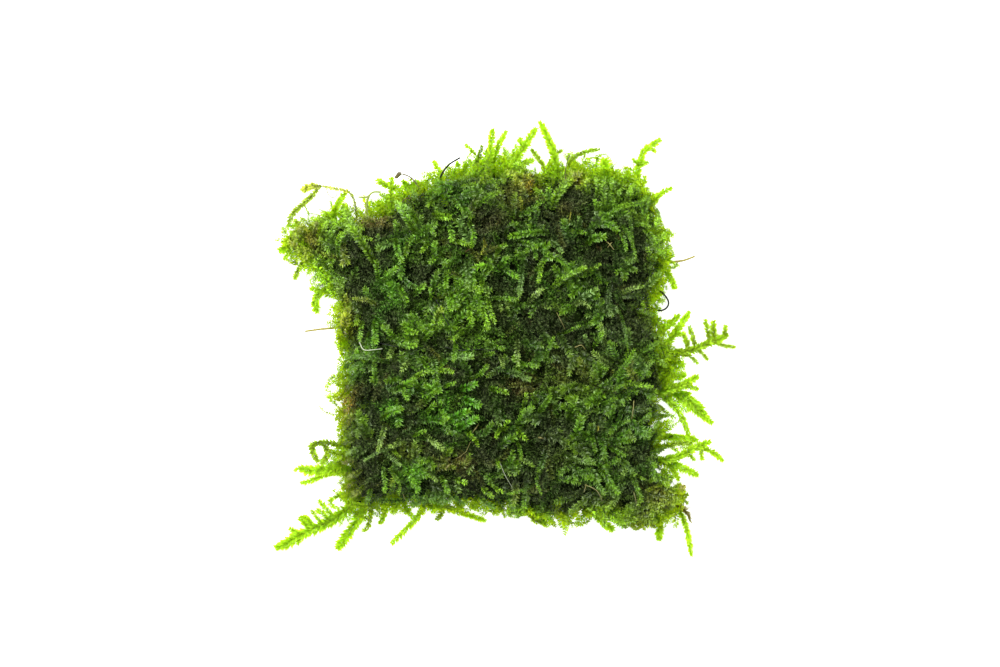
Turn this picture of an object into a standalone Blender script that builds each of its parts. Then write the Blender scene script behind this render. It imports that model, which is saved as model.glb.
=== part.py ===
"""A square clump of moss, lifted from where it grew and laid flat: one dense mat of interwoven shoots
with a flat underside, and the longer shoots, fronds and wiry strands that stick out round its rim.

Units are metres, with +Z up. The origin is the centre of the clump's bounding box, on the surface that
the clump lies on. Routes are read off a photograph that looks straight down on the clump: a point is its
column and row there, and its height above the surface in millimetres.
"""

import math

import bmesh
import bpy
import numpy as np
from mathutils import Vector

# Driving dimensions.
MAT_SIDE = 0.080  # across the dense mat, from its left edge to its right edge
MAT_HEIGHT = 0.0145  # the general level of the top, without the tufts
RIM_HEIGHT = 0.0065  # the widest line of the side
SHOULDER = 0.010  # how far in from the rim the top reaches its general level
LOBE_THINNING = 0.45  # the corner lobe's share of the height that it loses
GAP = 0.0003  # between solids that touch
MM = 0.001

# The photograph's scale, and the place in it of the origin.
MAT_SIDE_PIXELS = 334
PIXEL = MAT_SIDE / MAT_SIDE_PIXELS
ORIGIN_COLUMN, ORIGIN_ROW = 505.7, 338.6

# The dense mat's outline, as four edges that share their corners: the top and bottom ones run from left
# to right, and the side ones from top to bottom.
TOP_EDGE = [
    (292, 230), (306, 221), (330, 217), (352, 213), (375, 212), (392, 202), (405, 192),
    (425, 186), (445, 178), (462, 171), (480, 166), (500, 166), (525, 169), (545, 173),
    (562, 172), (580, 170), (600, 173), (620, 179), (638, 184), (650, 196),
]
RIGHT_EDGE = [
    (650, 196), (655, 208), (663, 224), (668, 240), (668, 260), (664, 275), (655, 290),
    (650, 305), (656, 320), (663, 335), (665, 350), (670, 368), (671, 385), (664, 400),
    (660, 420), (663, 440), (662, 462), (670, 480), (679, 498), (672, 514),
]
BOTTOM_EDGE = [
    (352, 505), (370, 509), (395, 505), (425, 508), (455, 509), (485, 511), (515, 513),
    (540, 518), (565, 518), (600, 520), (628, 525), (650, 526), (672, 514),
]
LEFT_EDGE = [
    (292, 230), (288, 245), (300, 257), (316, 270), (330, 284), (336, 300), (338, 318),
    (337, 335), (344, 352), (343, 368), (344, 385), (342, 405), (341, 425), (342, 445),
    (342, 465), (345, 485), (352, 505),
]
LOBE_EDGE, LOBE_INNER = -0.052, -0.036  # across X, where the corner lobe thins out

MAT_CELLS = 46  # squares along each edge of the mat's top
UNDERCUT = ((0.0008, 0.0035), (0.0020, 0.0012), (0.0032, 0.0))  # (set in by, height) below the rim
TUFTS = 220  # raised shoots on the mat's top
TUFT_LENGTH, TUFT_WIDTH = 0.0050, 0.0017
TUFT_RISE = (0.0010, 0.0030)
RIM_JITTER = 0.0004

FINISHES = {
    # name: (colour, roughness)
    "mat_moss": ((0.055, 0.095, 0.018), 0.6),
    "young_moss": ((0.30, 0.55, 0.03), 0.5),
    "olive_moss": ((0.16, 0.22, 0.03), 0.55),
    "dry_moss": ((0.50, 0.42, 0.12), 0.6),
    "dark_strand": ((0.02, 0.02, 0.02), 0.45),
}

# Every piece that sticks out: name: (finish, [strand, ...]). A strand is its width in millimetres and its
# route. The first strand is the main stem, and the others are side shoots that have grown from it.
SHOOTS = {
    "arching_runner": ("olive_moss", [
        (0.6, [(359, 222, 6), (355.5, 207, 9), (353.5, 198, 10.5), (348, 191.5, 11),
               (340, 189.5, 11), (331, 188, 10.6), (322, 186, 10.2)]),
    ]),
    "hanging_branch": ("olive_moss", [
        (1.1, [(319, 185.5, 10.2), (316.5, 190.5, 9.4), (310, 197.5, 8), (301, 205.5, 6.8),
               (294, 212.5, 5.8), (290, 219, 5.2), (288.6, 225, 4.8)]),
        (1.0, [(318.5, 186.5, 10), (311, 185.8, 10.2), (302.5, 191, 9.8)]),
    ]),
    "upright_shoot_left": ("young_moss", [
        (1.2, [(333, 226, 7), (334, 213, 8), (338, 203, 9), (345.5, 193, 8.6)]),
    ]),
    "lobe_tip": ("young_moss", [
        (2.0, [(304, 247, 4), (291, 246, 3.5), (280.5, 250.5, 2.5)]),
        (1.0, [(293, 247, 3.5), (289, 254, 2.6), (284.5, 259.5, 1.8)]),
    ]),
    "hanging_olive_shoot": ("olive_moss", [
        (0.9, [(309, 253, 4.6), (301.5, 265, 3.6), (298, 271, 2.6), (294.5, 279, 1.6)]),
    ]),
    "left_drop_shoot": ("young_moss", [
        (1.6, [(338, 292, 5), (324, 291, 4.6), (317, 297, 3.8), (315, 304, 3), (317, 311.5, 2)]),
        (1.0, [(323, 291.5, 4.6), (316, 289.5, 4.2), (310.5, 288.5, 3.6)]),
    ]),
    "straw_stick": ("dry_moss", [
        (0.5, [(344, 326.5, 3), (334, 328, 3), (320, 329.3, 2.4), (305.5, 331.3, 1.6)]),
    ]),
    "left_bent_shoot": ("olive_moss", [
        (1.2, [(350, 448, 6.4), (336, 445, 6.4), (324, 442.5, 6), (312, 444.5, 5.4),
               (312.5, 451, 4.4), (317.5, 461, 3)]),
        (1.2, [(322, 442.8, 6), (328, 452, 5), (325, 459, 4.2), (322, 463.5, 3.6)]),
    ]),
    "left_wide_frond": ("young_moss", [
        (2.1, [(356, 469, 6), (340, 470, 6), (328, 469.5, 5.6), (316, 470.5, 5),
               (308, 470.5, 4.6), (301.5, 468.5, 4)]),
        (0.5, [(304, 469, 4.2), (298, 467.8, 3.8), (295, 471, 3.4)]),
    ]),
    "left_pale_frond": ("young_moss", [
        (0.9, [(350, 474.5, 4), (335, 473.5, 3.8), (322, 476, 3.2), (311, 481, 2.6),
               (301, 483, 2.2)]),
    ]),
    "left_curl": ("young_moss", [
        (0.8, [(353, 490, 6.4), (342, 494.5, 6.2), (333, 498, 5.8), (329.5, 502, 5.4),
               (333, 506, 5.2), (339, 508.5, 5)]),
    ]),
    "bottom_left_frond": ("young_moss", [
        (2.3, [(360, 499, 4), (340, 515, 3.6), (325, 524, 3), (310, 530.5, 2.6),
               (297, 537, 2.2), (286, 543.5, 1.8), (276.8, 547.3, 1.4)]),
        (0.8, [(334, 518, 3.3), (326, 508.5, 3.8), (319, 500.8, 4)]),
        (1.0, [(329, 520.5, 3.2), (323, 513.5, 3.4), (317, 510, 3.4)]),
        (0.7, [(323, 524.5, 3), (317, 517, 3.2), (311.5, 510.5, 3.4)]),
        (1.2, [(314, 528.5, 2.7), (308, 519.5, 2.8), (303.5, 516.5, 2.8)]),
        (1.2, [(311, 529.5, 2.6), (305, 524, 2.4), (300, 517.5, 2.4)]),
        (1.0, [(301, 535, 2.3), (295, 531.5, 2.2), (290, 528.5, 2.2)]),
        (0.8, [(301, 535.5, 2.3), (299.5, 539.5, 1.8), (297.8, 544, 1.4)]),
    ]),
    "bottom_lance": ("young_moss", [
        (2.2, [(368, 500, 4), (357, 520, 3.2), (348, 533, 2.4), (338, 547.8, 1.4)]),
    ]),
    "bottom_thin_shoot": ("olive_moss", [
        (0.8, [(372, 501, 3.6), (370, 517, 3), (368, 526, 2.4), (363, 531.3, 1.8)]),
    ]),
    "bottom_short_shoot": ("young_moss", [
        (1.3, [(387, 496, 4), (384.5, 511, 3.4), (380.5, 523, 2.4)]),
    ]),
    "bottom_slant_frond": ("young_moss", [
        (1.0, [(427, 498, 5), (417, 516, 4), (405, 529, 2.8), (391.8, 543, 1.6)]),
        (1.0, [(402, 499, 5), (408, 511, 4.4), (415, 518.5, 3.8)]),
    ]),
    "bottom_dark_stub": ("olive_moss", [
        (1.0, [(445, 498, 4), (442, 512, 3.4), (437, 519.5, 2.4)]),
    ]),
    "bottom_long_shoot": ("young_moss", [
        (1.1, [(436, 501, 4.4), (455, 511, 4), (470, 515.5, 3.2), (485, 520.8, 2.2)]),
    ]),
    "bottom_blunt_shoot": ("young_moss", [
        (1.7, [(592, 508, 4), (602, 521, 3.2), (612.5, 529.5, 2.2)]),
    ]),
    "bottom_right_lance": ("young_moss", [
        (1.6, [(661.5, 504, 7), (659.5, 520, 6), (659.5, 530, 4.6), (658.8, 539, 3)]),
    ]),
    "bottom_right_long": ("young_moss", [
        (1.0, [(673, 498, 4), (682, 515, 3.8), (687, 530, 3), (690, 545, 2), (691.3, 555, 1.4)]),
    ]),
    "right_tail": ("dry_moss", [
        (1.2, [(670, 501, 6.4), (684, 509, 6), (689, 515, 5), (690.8, 520.5, 3.6)]),
    ]),
    "right_tuft_upper": ("dry_moss", [
        (1.1, [(665, 500, 8), (677, 492, 7.6), (684.5, 486.5, 7)]),
    ]),
    "right_tuft_lower": ("olive_moss", [
        (1.2, [(666, 504, 5), (679, 498.5, 5), (687, 494.5, 4.4)]),
        (0.7, [(679, 499, 5), (683, 501.5, 4.7), (687.3, 502.8, 4.2)]),
    ]),
    "right_low_frond": ("young_moss", [
        (1.5, [(654, 458.5, 5), (674, 464.5, 5), (686, 469, 4.4), (697, 474.5, 3.4)]),
        (0.9, [(671, 463.5, 5), (675, 471, 4), (678.5, 480, 2.6)]),
    ]),
    "right_fork_frond": ("young_moss", [
        (1.5, [(650, 461, 7.4), (672, 458.5, 7.4), (685, 453.5, 7), (697, 447.5, 6.4),
               (709.5, 441.5, 5.6)]),
        (0.7, [(687, 452.5, 6.9), (691, 457, 6.2), (694.5, 460, 5.6)]),
    ]),
    "right_fork_branch": ("young_moss", [
        (1.0, [(697.5, 448.5, 5.6), (706, 450, 4.8), (715, 455, 3.8), (722, 461.5, 2.8)]),
        (0.7, [(701, 449.5, 5.3), (701.5, 455, 4.7), (702, 459.5, 4)]),
    ]),
    "right_arc_shoot": ("olive_moss", [
        (0.8, [(650, 451, 5.4), (670, 444.5, 5.4), (683, 443, 5.2), (692, 444.5, 4.8)]),
    ]),
    "right_straight_shoot": ("young_moss", [
        (1.3, [(648, 430, 5), (668, 436.5, 4.8), (682, 438, 4.2), (697, 440.3, 3.4)]),
    ]),
    "right_cross_shoot": ("young_moss", [
        (1.2, [(655, 391, 6), (671, 403, 6), (679, 413, 6), (685, 425, 6), (688.5, 436, 5.8)]),
    ]),
    "right_broad_frond": ("young_moss", [
        (2.9, [(656, 384, 3.6), (673, 393, 3.6), (687, 402, 3.4), (699, 411.5, 3),
               (711.5, 422.5, 2.2)]),
    ]),
    "right_upper_fork": ("young_moss", [
        (1.5, [(654, 393, 8), (672, 388.5, 8), (684, 384.5, 7.6), (697.5, 376.5, 6.8)]),
        (1.2, [(680, 386, 7.7), (689, 387.5, 7.2), (697.5, 389, 6.6)]),
    ]),
    "right_stub_lower": ("young_moss", [
        (1.6, [(655, 370, 6), (670, 374, 6), (678, 377, 5.4), (684.5, 374.5, 4.8)]),
    ]),
    "right_stub_upper": ("young_moss", [
        (1.0, [(656, 364, 5.4), (666, 362, 5.4), (676, 362, 5), (684.5, 364.5, 4.2)]),
    ]),
    "right_big_frond": ("olive_moss", [
        (1.7, [(644, 358, 8), (668, 354.5, 8), (684, 352, 7.6), (699, 347.5, 7),
               (712, 341.5, 6.4), (727, 335.5, 5.6)]),
        (0.9, [(688, 351, 7.5), (687, 343, 7.4), (684, 335.5, 7)]),
        (1.0, [(695, 348.5, 7.2), (694, 340, 7.2), (690, 327, 6.6)]),
        (0.9, [(710, 342.5, 6.5), (708, 332, 6.4), (705, 320, 5.8)]),
        (1.2, [(713.5, 341, 6.3), (713.5, 331, 6.2), (713.5, 322, 5.8)]),
        (0.9, [(724, 337, 5.8), (725, 331.5, 5.6), (725.5, 326, 5.2)]),
        (0.6, [(712, 341.5, 6.4), (723, 345.3, 5.6), (735.3, 347.3, 5)]),
        (0.5, [(696, 348.5, 7.1), (703, 354.5, 6.4), (707.5, 359.5, 5.6)]),
        (0.6, [(680, 352.5, 7.7), (690, 356.3, 7), (697.5, 363.5, 6)]),
    ]),
    "right_pair_outer": ("young_moss", [
        (1.5, [(645, 339, 6.8), (661, 331, 6.8), (670, 323.5, 6.6), (678.5, 315.5, 6)]),
    ]),
    "right_pair_inner": ("young_moss", [
        (1.4, [(652, 356, 4.4), (666, 345, 4.6), (674, 334, 4.8), (681, 324, 4.6), (689, 312.5, 4)]),
        (0.9, [(673, 335.5, 4.8), (679, 334, 4.6), (684.5, 334, 4.2)]),
    ]),
    "right_drop_shoot": ("young_moss", [
        (1.3, [(656, 262, 5), (668, 273, 4.6), (671.5, 280, 4), (674.8, 287.8, 3)]),
    ]),
    "right_thin_stem": ("dry_moss", [
        (0.5, [(654, 263.5, 6), (672, 262, 6), (684, 260.3, 5.6), (694.5, 256.5, 5)]),
    ]),
    "top_right_curl": ("young_moss", [
        (1.0, [(642, 214, 8), (653, 202, 8), (661, 193.5, 7.6), (671.5, 188, 6.8)]),
    ]),
    "top_right_frond": ("young_moss", [
        (1.5, [(633, 196, 8), (637, 175, 8), (640, 162, 7.6), (644.5, 151, 7), (652, 145.5, 6.4),
               (660, 140, 5.6)]),
        (0.7, [(646, 149.5, 6.9), (650.5, 149, 6.5), (655.5, 151.5, 6)]),
        (0.8, [(639, 166, 7.8), (636, 163, 7.6), (632.5, 159.5, 7.2)]),
        (0.8, [(639, 166, 7.8), (643, 164.5, 7.6), (647.5, 162, 7.2)]),
    ]),
    "top_knob": ("young_moss", [
        (2.0, [(605, 190, 9), (605, 174, 9.4), (605.5, 160, 9.4)]),
    ]),
    "top_arm": ("dry_moss", [
        (0.9, [(567, 192, 6), (566.5, 176, 6.6), (570, 163, 7.4), (576, 156, 7.8),
               (587, 151.5, 7.6), (599.5, 149.3, 7)]),
    ]),
    "top_tall_shoot": ("young_moss", [
        (1.5, [(559, 194, 9), (557.5, 172, 9), (554, 156, 8.6), (549.5, 142, 8),
               (545, 132.5, 7.4), (540.3, 122.7, 6.6)]),
    ]),
    "top_thin_shoot": ("olive_moss", [
        (0.8, [(549, 190, 5), (544, 168, 5.4), (538, 158, 5.4), (531.5, 149.5, 5)]),
    ]),
    "top_hook_shoot": ("olive_moss", [
        (0.8, [(546, 190, 7), (548, 172, 7), (551, 161, 6.9), (556, 153, 6.7), (562.5, 150.2, 6.4)]),
    ]),
    "top_big_shoot": ("young_moss", [
        (1.5, [(503, 188, 8), (513, 166, 8.2), (521, 152.5, 8), (529, 139.5, 7.4),
               (535.8, 129, 6.6)]),
        (1.1, [(522, 150.5, 7.9), (521.5, 145, 7.8), (520, 138.5, 7.4)]),
        (1.4, [(513, 166, 8.2), (523, 164.5, 7.6), (531.8, 160, 6.8)]),
    ]),
    "top_pair_left": ("young_moss", [
        (1.3, [(488, 188, 9.4), (489, 168, 9.4), (490.5, 152, 9), (492.5, 129.8, 8)]),
    ]),
    "top_pair_right": ("young_moss", [
        (1.1, [(489, 188, 6.6), (493, 163, 6.8), (497, 149, 6.6), (501, 140, 6.2), (506, 131.5, 5.6)]),
    ]),
    "top_spike": ("olive_moss", [
        (0.8, [(470, 186, 7), (475, 167, 7), (479, 156, 6.6), (481.5, 146, 6)]),
    ]),
    "top_nodding_tip": ("young_moss", [
        (0.7, [(460, 184, 6), (465, 163, 6.4), (471.5, 151.5, 6.4)]),
        (1.3, [(476, 155, 6.2), (471, 150, 6.4), (465.5, 145, 6)]),
    ]),
    "top_pale_tip": ("young_moss", [
        (0.9, [(447, 188, 8), (440, 173, 8), (433.5, 161.5, 7.4)]),
    ]),
    "left_cross_shoot": ("young_moss", [
        (1.0, [(392, 216, 8), (391, 200, 8.4), (391, 190, 8.4), (391.5, 178, 7.8)]),
        (1.2, [(391.5, 188.5, 8.3), (384, 184.5, 7.8), (377.5, 180.5, 7)]),
        (1.1, [(390.5, 189, 8.4), (397, 187.5, 8.4), (402, 188.5, 8)]),
    ]),
    "curled_stem": ("dry_moss", [
        (0.5, [(367.5, 224, 7), (366.5, 206, 7.6), (368.5, 197, 8), (373, 192.3, 8), (380, 192, 7.6)]),
        (0.45, [(369, 196.5, 8), (364, 197.3, 7.8), (358.5, 197, 7.4)]),
    ]),
    "capsule_stalk": ("dry_moss", [
        (0.45, [(424, 194, 9), (413, 179.5, 9.6), (407, 175.5, 9.8), (402, 174, 9.6),
                (398.5, 174.8, 9.2)]),
        (0.9, [(399.5, 173.5, 9.3), (396, 177.5, 8.9)]),
    ]),
    "dark_strand": ("dark_strand", [
        (0.35, [(439.5, 196, 6), (439.5, 184, 9.5), (441, 176, 11.5), (445, 169, 12), (451, 163, 11.6),
                (460, 157.7, 10.6)]),
    ]),
    "dark_loop": ("dark_strand", [
        (0.35, [(643, 286, 5), (653, 288.5, 7), (661, 292, 8), (666.5, 297.5, 8.4), (668.6, 303.5, 8.4),
                (665.5, 308.8, 8), (659, 310.6, 7.4), (652, 308, 6.6), (640, 301, 5)]),
    ]),
}
SECTION_SPACING = 0.0035  # along a shoot, between its sections
FEWEST_SECTIONS = 3
FLATNESS = 0.36  # a leafy shoot's thickness as a share of its width
THINNEST = 0.00045
TIP_WIDTH, TIP_THICKNESS = 0.4, 0.6  # a shoot's tip as shares of its base
CURVE_STEPS = 12  # between two points of a route


def clear_scene():
    for found in list(bpy.data.objects):
        bpy.data.objects.remove(found)


def finish_material(name):
    """A plain shader with the finish's colour and roughness."""
    colour, roughness = FINISHES[name]
    material = bpy.data.materials.get(name)
    if material is None:
        material = bpy.data.materials.new(name)
        material.use_nodes = True
        shader = material.node_tree.nodes["Principled BSDF"]
        shader.inputs["Base Color"].default_value = (*colour, 1.0)
        shader.inputs["Roughness"].default_value = roughness
        shader.inputs["Metallic"].default_value = 0.0
    return material


def make_object(name, bm, finish):
    bmesh.ops.recalc_face_normals(bm, faces=bm.faces)
    mesh = bpy.data.meshes.new(name)
    bm.to_mesh(mesh)
    bm.free()
    mesh.materials.append(finish_material(finish))
    made = bpy.data.objects.new(name, mesh)
    bpy.context.scene.collection.objects.link(made)
    return made


def make_helper(helper):
    """Marks an object as a tool for a Boolean, which is no part of the clump."""
    helper.hide_render = True
    helper.display_type = "WIRE"


def join_or_cut(target, operation, tool):
    modifier = target.modifiers.new(f"{operation.lower()}_{tool.name}", "BOOLEAN")
    modifier.operation = operation
    modifier.object = tool


def place(column, row, height=0.0):
    """A point of the photograph, and its height in millimetres, in the clump's frame."""
    return Vector(((column - ORIGIN_COLUMN) * PIXEL, (ORIGIN_ROW - row) * PIXEL, height * MM))


def along(points, count):
    """count points at even spacing on a smooth curve through the given ones."""
    points = np.array(points, float)
    padded = np.vstack([2 * points[0] - points[1], points, 2 * points[-1] - points[-2]])
    fine = []
    for a, b, c, d in zip(padded, padded[1:], padded[2:], padded[3:]):
        for t in np.linspace(0, 1, CURVE_STEPS, endpoint=False):
            fine.append(0.5 * (2 * b + (c - a) * t + (2 * a - 5 * b + 4 * c - d) * t**2
                               + (3 * b - a - 3 * c + d) * t**3))
    fine = np.array([*fine, points[-1]])
    run = np.concatenate([[0], np.cumsum(np.linalg.norm(np.diff(fine, axis=0), axis=1))])
    wanted = np.linspace(0, run[-1], count)
    return np.column_stack([np.interp(wanted, run, fine[:, axis]) for axis in range(points.shape[1])])


def mat_outline():
    """The four edges in the clump's frame, each cut into MAT_CELLS equal steps."""
    edges = (TOP_EDGE, RIGHT_EDGE, BOTTOM_EDGE, LEFT_EDGE)
    return [along([place(*point)[:2] for point in edge], MAT_CELLS + 1) for edge in edges]


def grid_inside(top, right, bottom, left):
    """A square grid of points stretched to fit the four edges, as [row][column], from the top left."""
    share = np.linspace(0, 1, MAT_CELLS + 1)
    across, down = share[None, :, None], share[:, None, None]
    between_rows = (1 - down) * top[None] + down * bottom[None]
    between_columns = (1 - across) * left[:, None] + across * right[:, None]
    corners = ((1 - down) * (1 - across) * top[0] + (1 - down) * across * top[-1]
               + down * (1 - across) * bottom[0] + down * across * bottom[-1])
    return between_rows + between_columns - corners


def tuft_rise(points):
    """How far the tufts lift each point: short rounded ridges that lie in all directions."""
    random = np.random.default_rng(7)
    low, high = points.reshape(-1, 2).min(axis=0), points.reshape(-1, 2).max(axis=0)
    rise = np.zeros(points.shape[:2])
    for _ in range(TUFTS):
        centre = random.uniform(low, high)
        turn = random.uniform(0, math.pi)
        lie = np.array([math.cos(turn), math.sin(turn)])
        offset = points - centre
        lengthwise = offset @ lie
        sideways = offset @ np.array([-lie[1], lie[0]])
        ridge = np.exp(-((lengthwise / TUFT_LENGTH) ** 2) - (sideways / TUFT_WIDTH) ** 2)
        rise = np.maximum(rise, random.uniform(*TUFT_RISE) * ridge)
    return rise


def top_heights(points, rim):
    """The height of each point of the top: rounded up from the rim, and thinner in the corner lobe."""
    away = np.min(np.linalg.norm(points[:, :, None] - rim[None, None], axis=-1), axis=-1)
    inward = np.clip(away / SHOULDER, 0, 1)
    shoulder = np.sqrt(1 - (1 - inward) ** 2)
    into_lobe = np.clip((LOBE_INNER - points[:, :, 0]) / (LOBE_INNER - LOBE_EDGE), 0, 1)
    general = RIM_HEIGHT + (MAT_HEIGHT - RIM_HEIGHT) * shoulder + tuft_rise(points) * inward
    return general * (1 - LOBE_THINNING * into_lobe)


def make_mat():
    """The dense mat: a grid for its lumpy top, an undercut side, and a flat underside."""
    top, right, bottom, left = mat_outline()
    grid = grid_inside(top, right, bottom, left)
    # Round the rim, anticlockwise from the top left.
    rim = np.concatenate([left[:-1], bottom[:-1], right[::-1][:-1], top[::-1][:-1]])
    heights = top_heights(grid, rim)
    bm = bmesh.new()
    rows = [[bm.verts.new((*point, height)) for point, height in zip(row, row_heights)]
            for row, row_heights in zip(grid, heights)]
    for upper, lower in zip(rows, rows[1:]):
        for a, b, c, d in zip(upper, lower, lower[1:], upper[1:]):
            bm.faces.new((a, b, c, d))
    loop = ([row[0] for row in rows[:-1]] + rows[-1][:-1]
            + [row[-1] for row in rows[:0:-1]] + rows[0][:0:-1])
    up = Vector((0, 0, 1))
    random = np.random.default_rng(3)
    for inset, height in UNDERCUT:
        ring = []
        for i, corner in enumerate(rim):
            tangent = Vector((*(rim[(i + 1) % len(rim)] - rim[i - 1]), 0)).normalized()
            jitter = random.uniform(-RIM_JITTER, RIM_JITTER)
            inward = up.cross(tangent)
            ring.append(bm.verts.new(Vector((*corner, height)) + inward * (inset + jitter)))
        for a, b, c, d in zip(loop, ring, ring[1:] + ring[:1], loop[1:] + loop[:1]):
            bm.faces.new((a, b, c, d))
        loop = ring
    bm.faces.new(loop)
    mat = make_object("moss_mat", bm, "mat_moss")
    mat.data.shade_smooth()
    return mat


def mat_clearance(mat):
    """The mat swollen by the gap, which trims every shoot where it leaves the mat."""
    swollen = bpy.data.objects.new("mat_clearance", mat.data.copy())
    bpy.context.scene.collection.objects.link(swollen)
    swell = swollen.modifiers.new("swell", "DISPLACE")
    swell.mid_level = 0
    swell.strength = GAP
    make_helper(swollen)
    return swollen


def make_strand(name, width, route, finish):
    """A flattened tapering stem along the route, with a ridge along its top and its underside."""
    points = [place(*point) for point in route]
    length = sum((b - a).length for a, b in zip(points, points[1:]))
    count = max(FEWEST_SECTIONS, round(length / SECTION_SPACING) + 1)
    centres = [Vector(point) for point in along(points, count)]
    bm = bmesh.new()
    rings = []
    for i, centre in enumerate(centres):
        tangent = (centres[min(i + 1, count - 1)] - centres[max(i - 1, 0)]).normalized()
        sideways = tangent.cross(Vector((0, 0, 1))).normalized()
        upward = sideways.cross(tangent)
        share = i / (count - 1)
        half_width = width * MM / 2 * (1 - (1 - TIP_WIDTH) * share**3)
        thinnest = THINNEST / 2 * (1 - (1 - TIP_THICKNESS) * share)
        half_thickness = max(half_width * FLATNESS, thinnest)
        rings.append([bm.verts.new(centre + offset) for offset in (
            sideways * half_width, upward * half_thickness,
            -sideways * half_width, -upward * half_thickness)])
    for a, b in zip(rings, rings[1:]):
        for k in range(len(a)):
            after = (k + 1) % len(a)
            bm.faces.new((a[k], a[after], b[after], b[k]))
    bm.faces.new(rings[0][::-1])
    bm.faces.new(rings[-1])
    return make_object(name, bm, finish)


def make_shoot(name, finish, strands, clearance):
    """One piece that sticks out of the mat: its main stem, joined with its side shoots."""
    stem = make_strand(name, *strands[0], finish)
    for i, strand in enumerate(strands[1:], 1):
        side = make_strand(f"{name}_side_{i}", *strand, finish)
        make_helper(side)
        join_or_cut(stem, "UNION", side)
    join_or_cut(stem, "DIFFERENCE", clearance)


def build():
    clear_scene()
    clearance = mat_clearance(make_mat())
    for name, (finish, strands) in SHOOTS.items():
        make_shoot(name, finish, strands, clearance)


build()
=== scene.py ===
import math

import bpy
import numpy as np
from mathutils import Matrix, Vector, noise
from mathutils.bvhtree import BVHTree


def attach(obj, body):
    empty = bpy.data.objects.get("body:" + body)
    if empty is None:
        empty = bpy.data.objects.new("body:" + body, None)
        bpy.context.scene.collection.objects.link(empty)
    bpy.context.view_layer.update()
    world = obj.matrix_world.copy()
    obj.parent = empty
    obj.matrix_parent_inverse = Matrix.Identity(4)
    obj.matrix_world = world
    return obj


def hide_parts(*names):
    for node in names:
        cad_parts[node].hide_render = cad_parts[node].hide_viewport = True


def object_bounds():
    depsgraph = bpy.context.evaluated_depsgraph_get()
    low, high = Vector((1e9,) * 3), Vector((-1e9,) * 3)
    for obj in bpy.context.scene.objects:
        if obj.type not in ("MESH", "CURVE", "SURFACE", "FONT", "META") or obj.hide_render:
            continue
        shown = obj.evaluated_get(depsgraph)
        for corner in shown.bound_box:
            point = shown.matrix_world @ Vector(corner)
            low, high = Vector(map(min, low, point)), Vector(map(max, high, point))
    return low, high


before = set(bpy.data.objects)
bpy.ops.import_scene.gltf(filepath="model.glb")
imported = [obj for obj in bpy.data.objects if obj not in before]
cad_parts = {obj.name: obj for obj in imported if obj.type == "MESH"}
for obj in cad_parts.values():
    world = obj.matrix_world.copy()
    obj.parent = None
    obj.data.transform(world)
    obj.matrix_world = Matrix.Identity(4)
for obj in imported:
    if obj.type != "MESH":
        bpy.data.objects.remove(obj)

cad_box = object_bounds()

# ----------------------------------------------------------------------
# The bed: last years' stems and dead leaves, matted together and stained dark by the damp, and painted
# near black as the shade deep between the live shoots. The live shoots root in it and hide nearly all of
# it, so it shows as the darkness between them. It grew as one felt with the shoots, and nothing fixes it.


class Outlet:
    """One output of a finish's nodes. Sums on it are written as numbers are, and add Math nodes."""

    def __init__(self, finish, socket):
        self.finish, self.socket = finish, socket

    def maths(self, operation, first, second):
        return self.finish.node("ShaderNodeMath", {"operation": operation}, {0: first, 1: second})

    def __add__(self, other):
        return self.maths("ADD", self, other)

    def __sub__(self, other):
        return self.maths("SUBTRACT", self, other)

    def __rsub__(self, other):
        return self.maths("SUBTRACT", other, self)

    def __mul__(self, other):
        return self.maths("MULTIPLY", self, other)

    def __pow__(self, other):
        return self.maths("POWER", self, other)

    __radd__, __rmul__ = __add__, __mul__

    def at_least(self, lowest):
        return self.maths("MAXIMUM", self, lowest)


class Finish:
    """A material in the making."""

    def __init__(self, name):
        self.material = bpy.data.materials.new(name)
        self.material.use_nodes = True
        self.tree = self.material.node_tree
        self.tree.nodes.clear()

    def node(self, kind, settings, sockets, out=0):
        """Adds a node: its settings first, then a value, a colour or an outlet for each socket named."""
        made = self.tree.nodes.new(kind)
        for name, value in settings.items():
            setattr(made, name, value)
        for name, value in sockets.items():
            if isinstance(value, Outlet):
                self.tree.links.new(value.socket, made.inputs[name])
            else:
                made.inputs[name].default_value = (*value, 1) if isinstance(value, np.ndarray) else value
        return Outlet(self, made.outputs[out]) if made.outputs else made

    def mix(self, share, first, second, blend="MIX"):
        """Two colours mixed: share of the second one in the first."""
        settings = {"data_type": "RGBA", "blend_type": blend, "clamp_factor": True}
        return self.node("ShaderNodeMix", settings, {0: share, 6: first, 7: second}, out=2)

    def noise(self, size, detail=3.0):
        """Noise whose lumps are about that size, in metres."""
        place = self.node("ShaderNodeTexCoord", {}, {}, out="Object")
        return self.node("ShaderNodeTexNoise", {}, {
            "Vector": place, "Scale": 1 / size, "Detail": detail, "Roughness": 0.6})

    def mark(self, name, kind):
        """What the mesh says of each of its corners under that name."""
        return self.node("ShaderNodeAttribute", {"attribute_name": name}, {}, out=kind)

    def bump(self, height, depth):
        return self.node("ShaderNodeBump", {}, {"Height": height, "Distance": depth, "Strength": 0.8})

    def lit_through(self, share, skin, through):
        """A skin that a share of the light comes through, in a colour of its own."""
        glow = self.node("ShaderNodeBsdfTranslucent", {}, {"Color": through})
        return self.node("ShaderNodeMixShader", {}, {0: share, 1: skin, 2: glow})

    def wear(self, shader):
        """Ends the finish with this shader."""
        self.node("ShaderNodeOutputMaterial", {}, {"Surface": shader})
        return self.material


def colour(red, green, blue):
    """A colour as a screen shows it, 0 to 255, in the linear values that shaders take."""
    screen = np.array([red, green, blue]) / 255
    return np.where(screen > 0.04045, ((screen + 0.055) / 1.055) ** 2.4, screen / 12.92)


FELT_LUMP, FELT_GRAIN, FELT_RELIEF = 0.004, 0.0006, 0.0006


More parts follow.
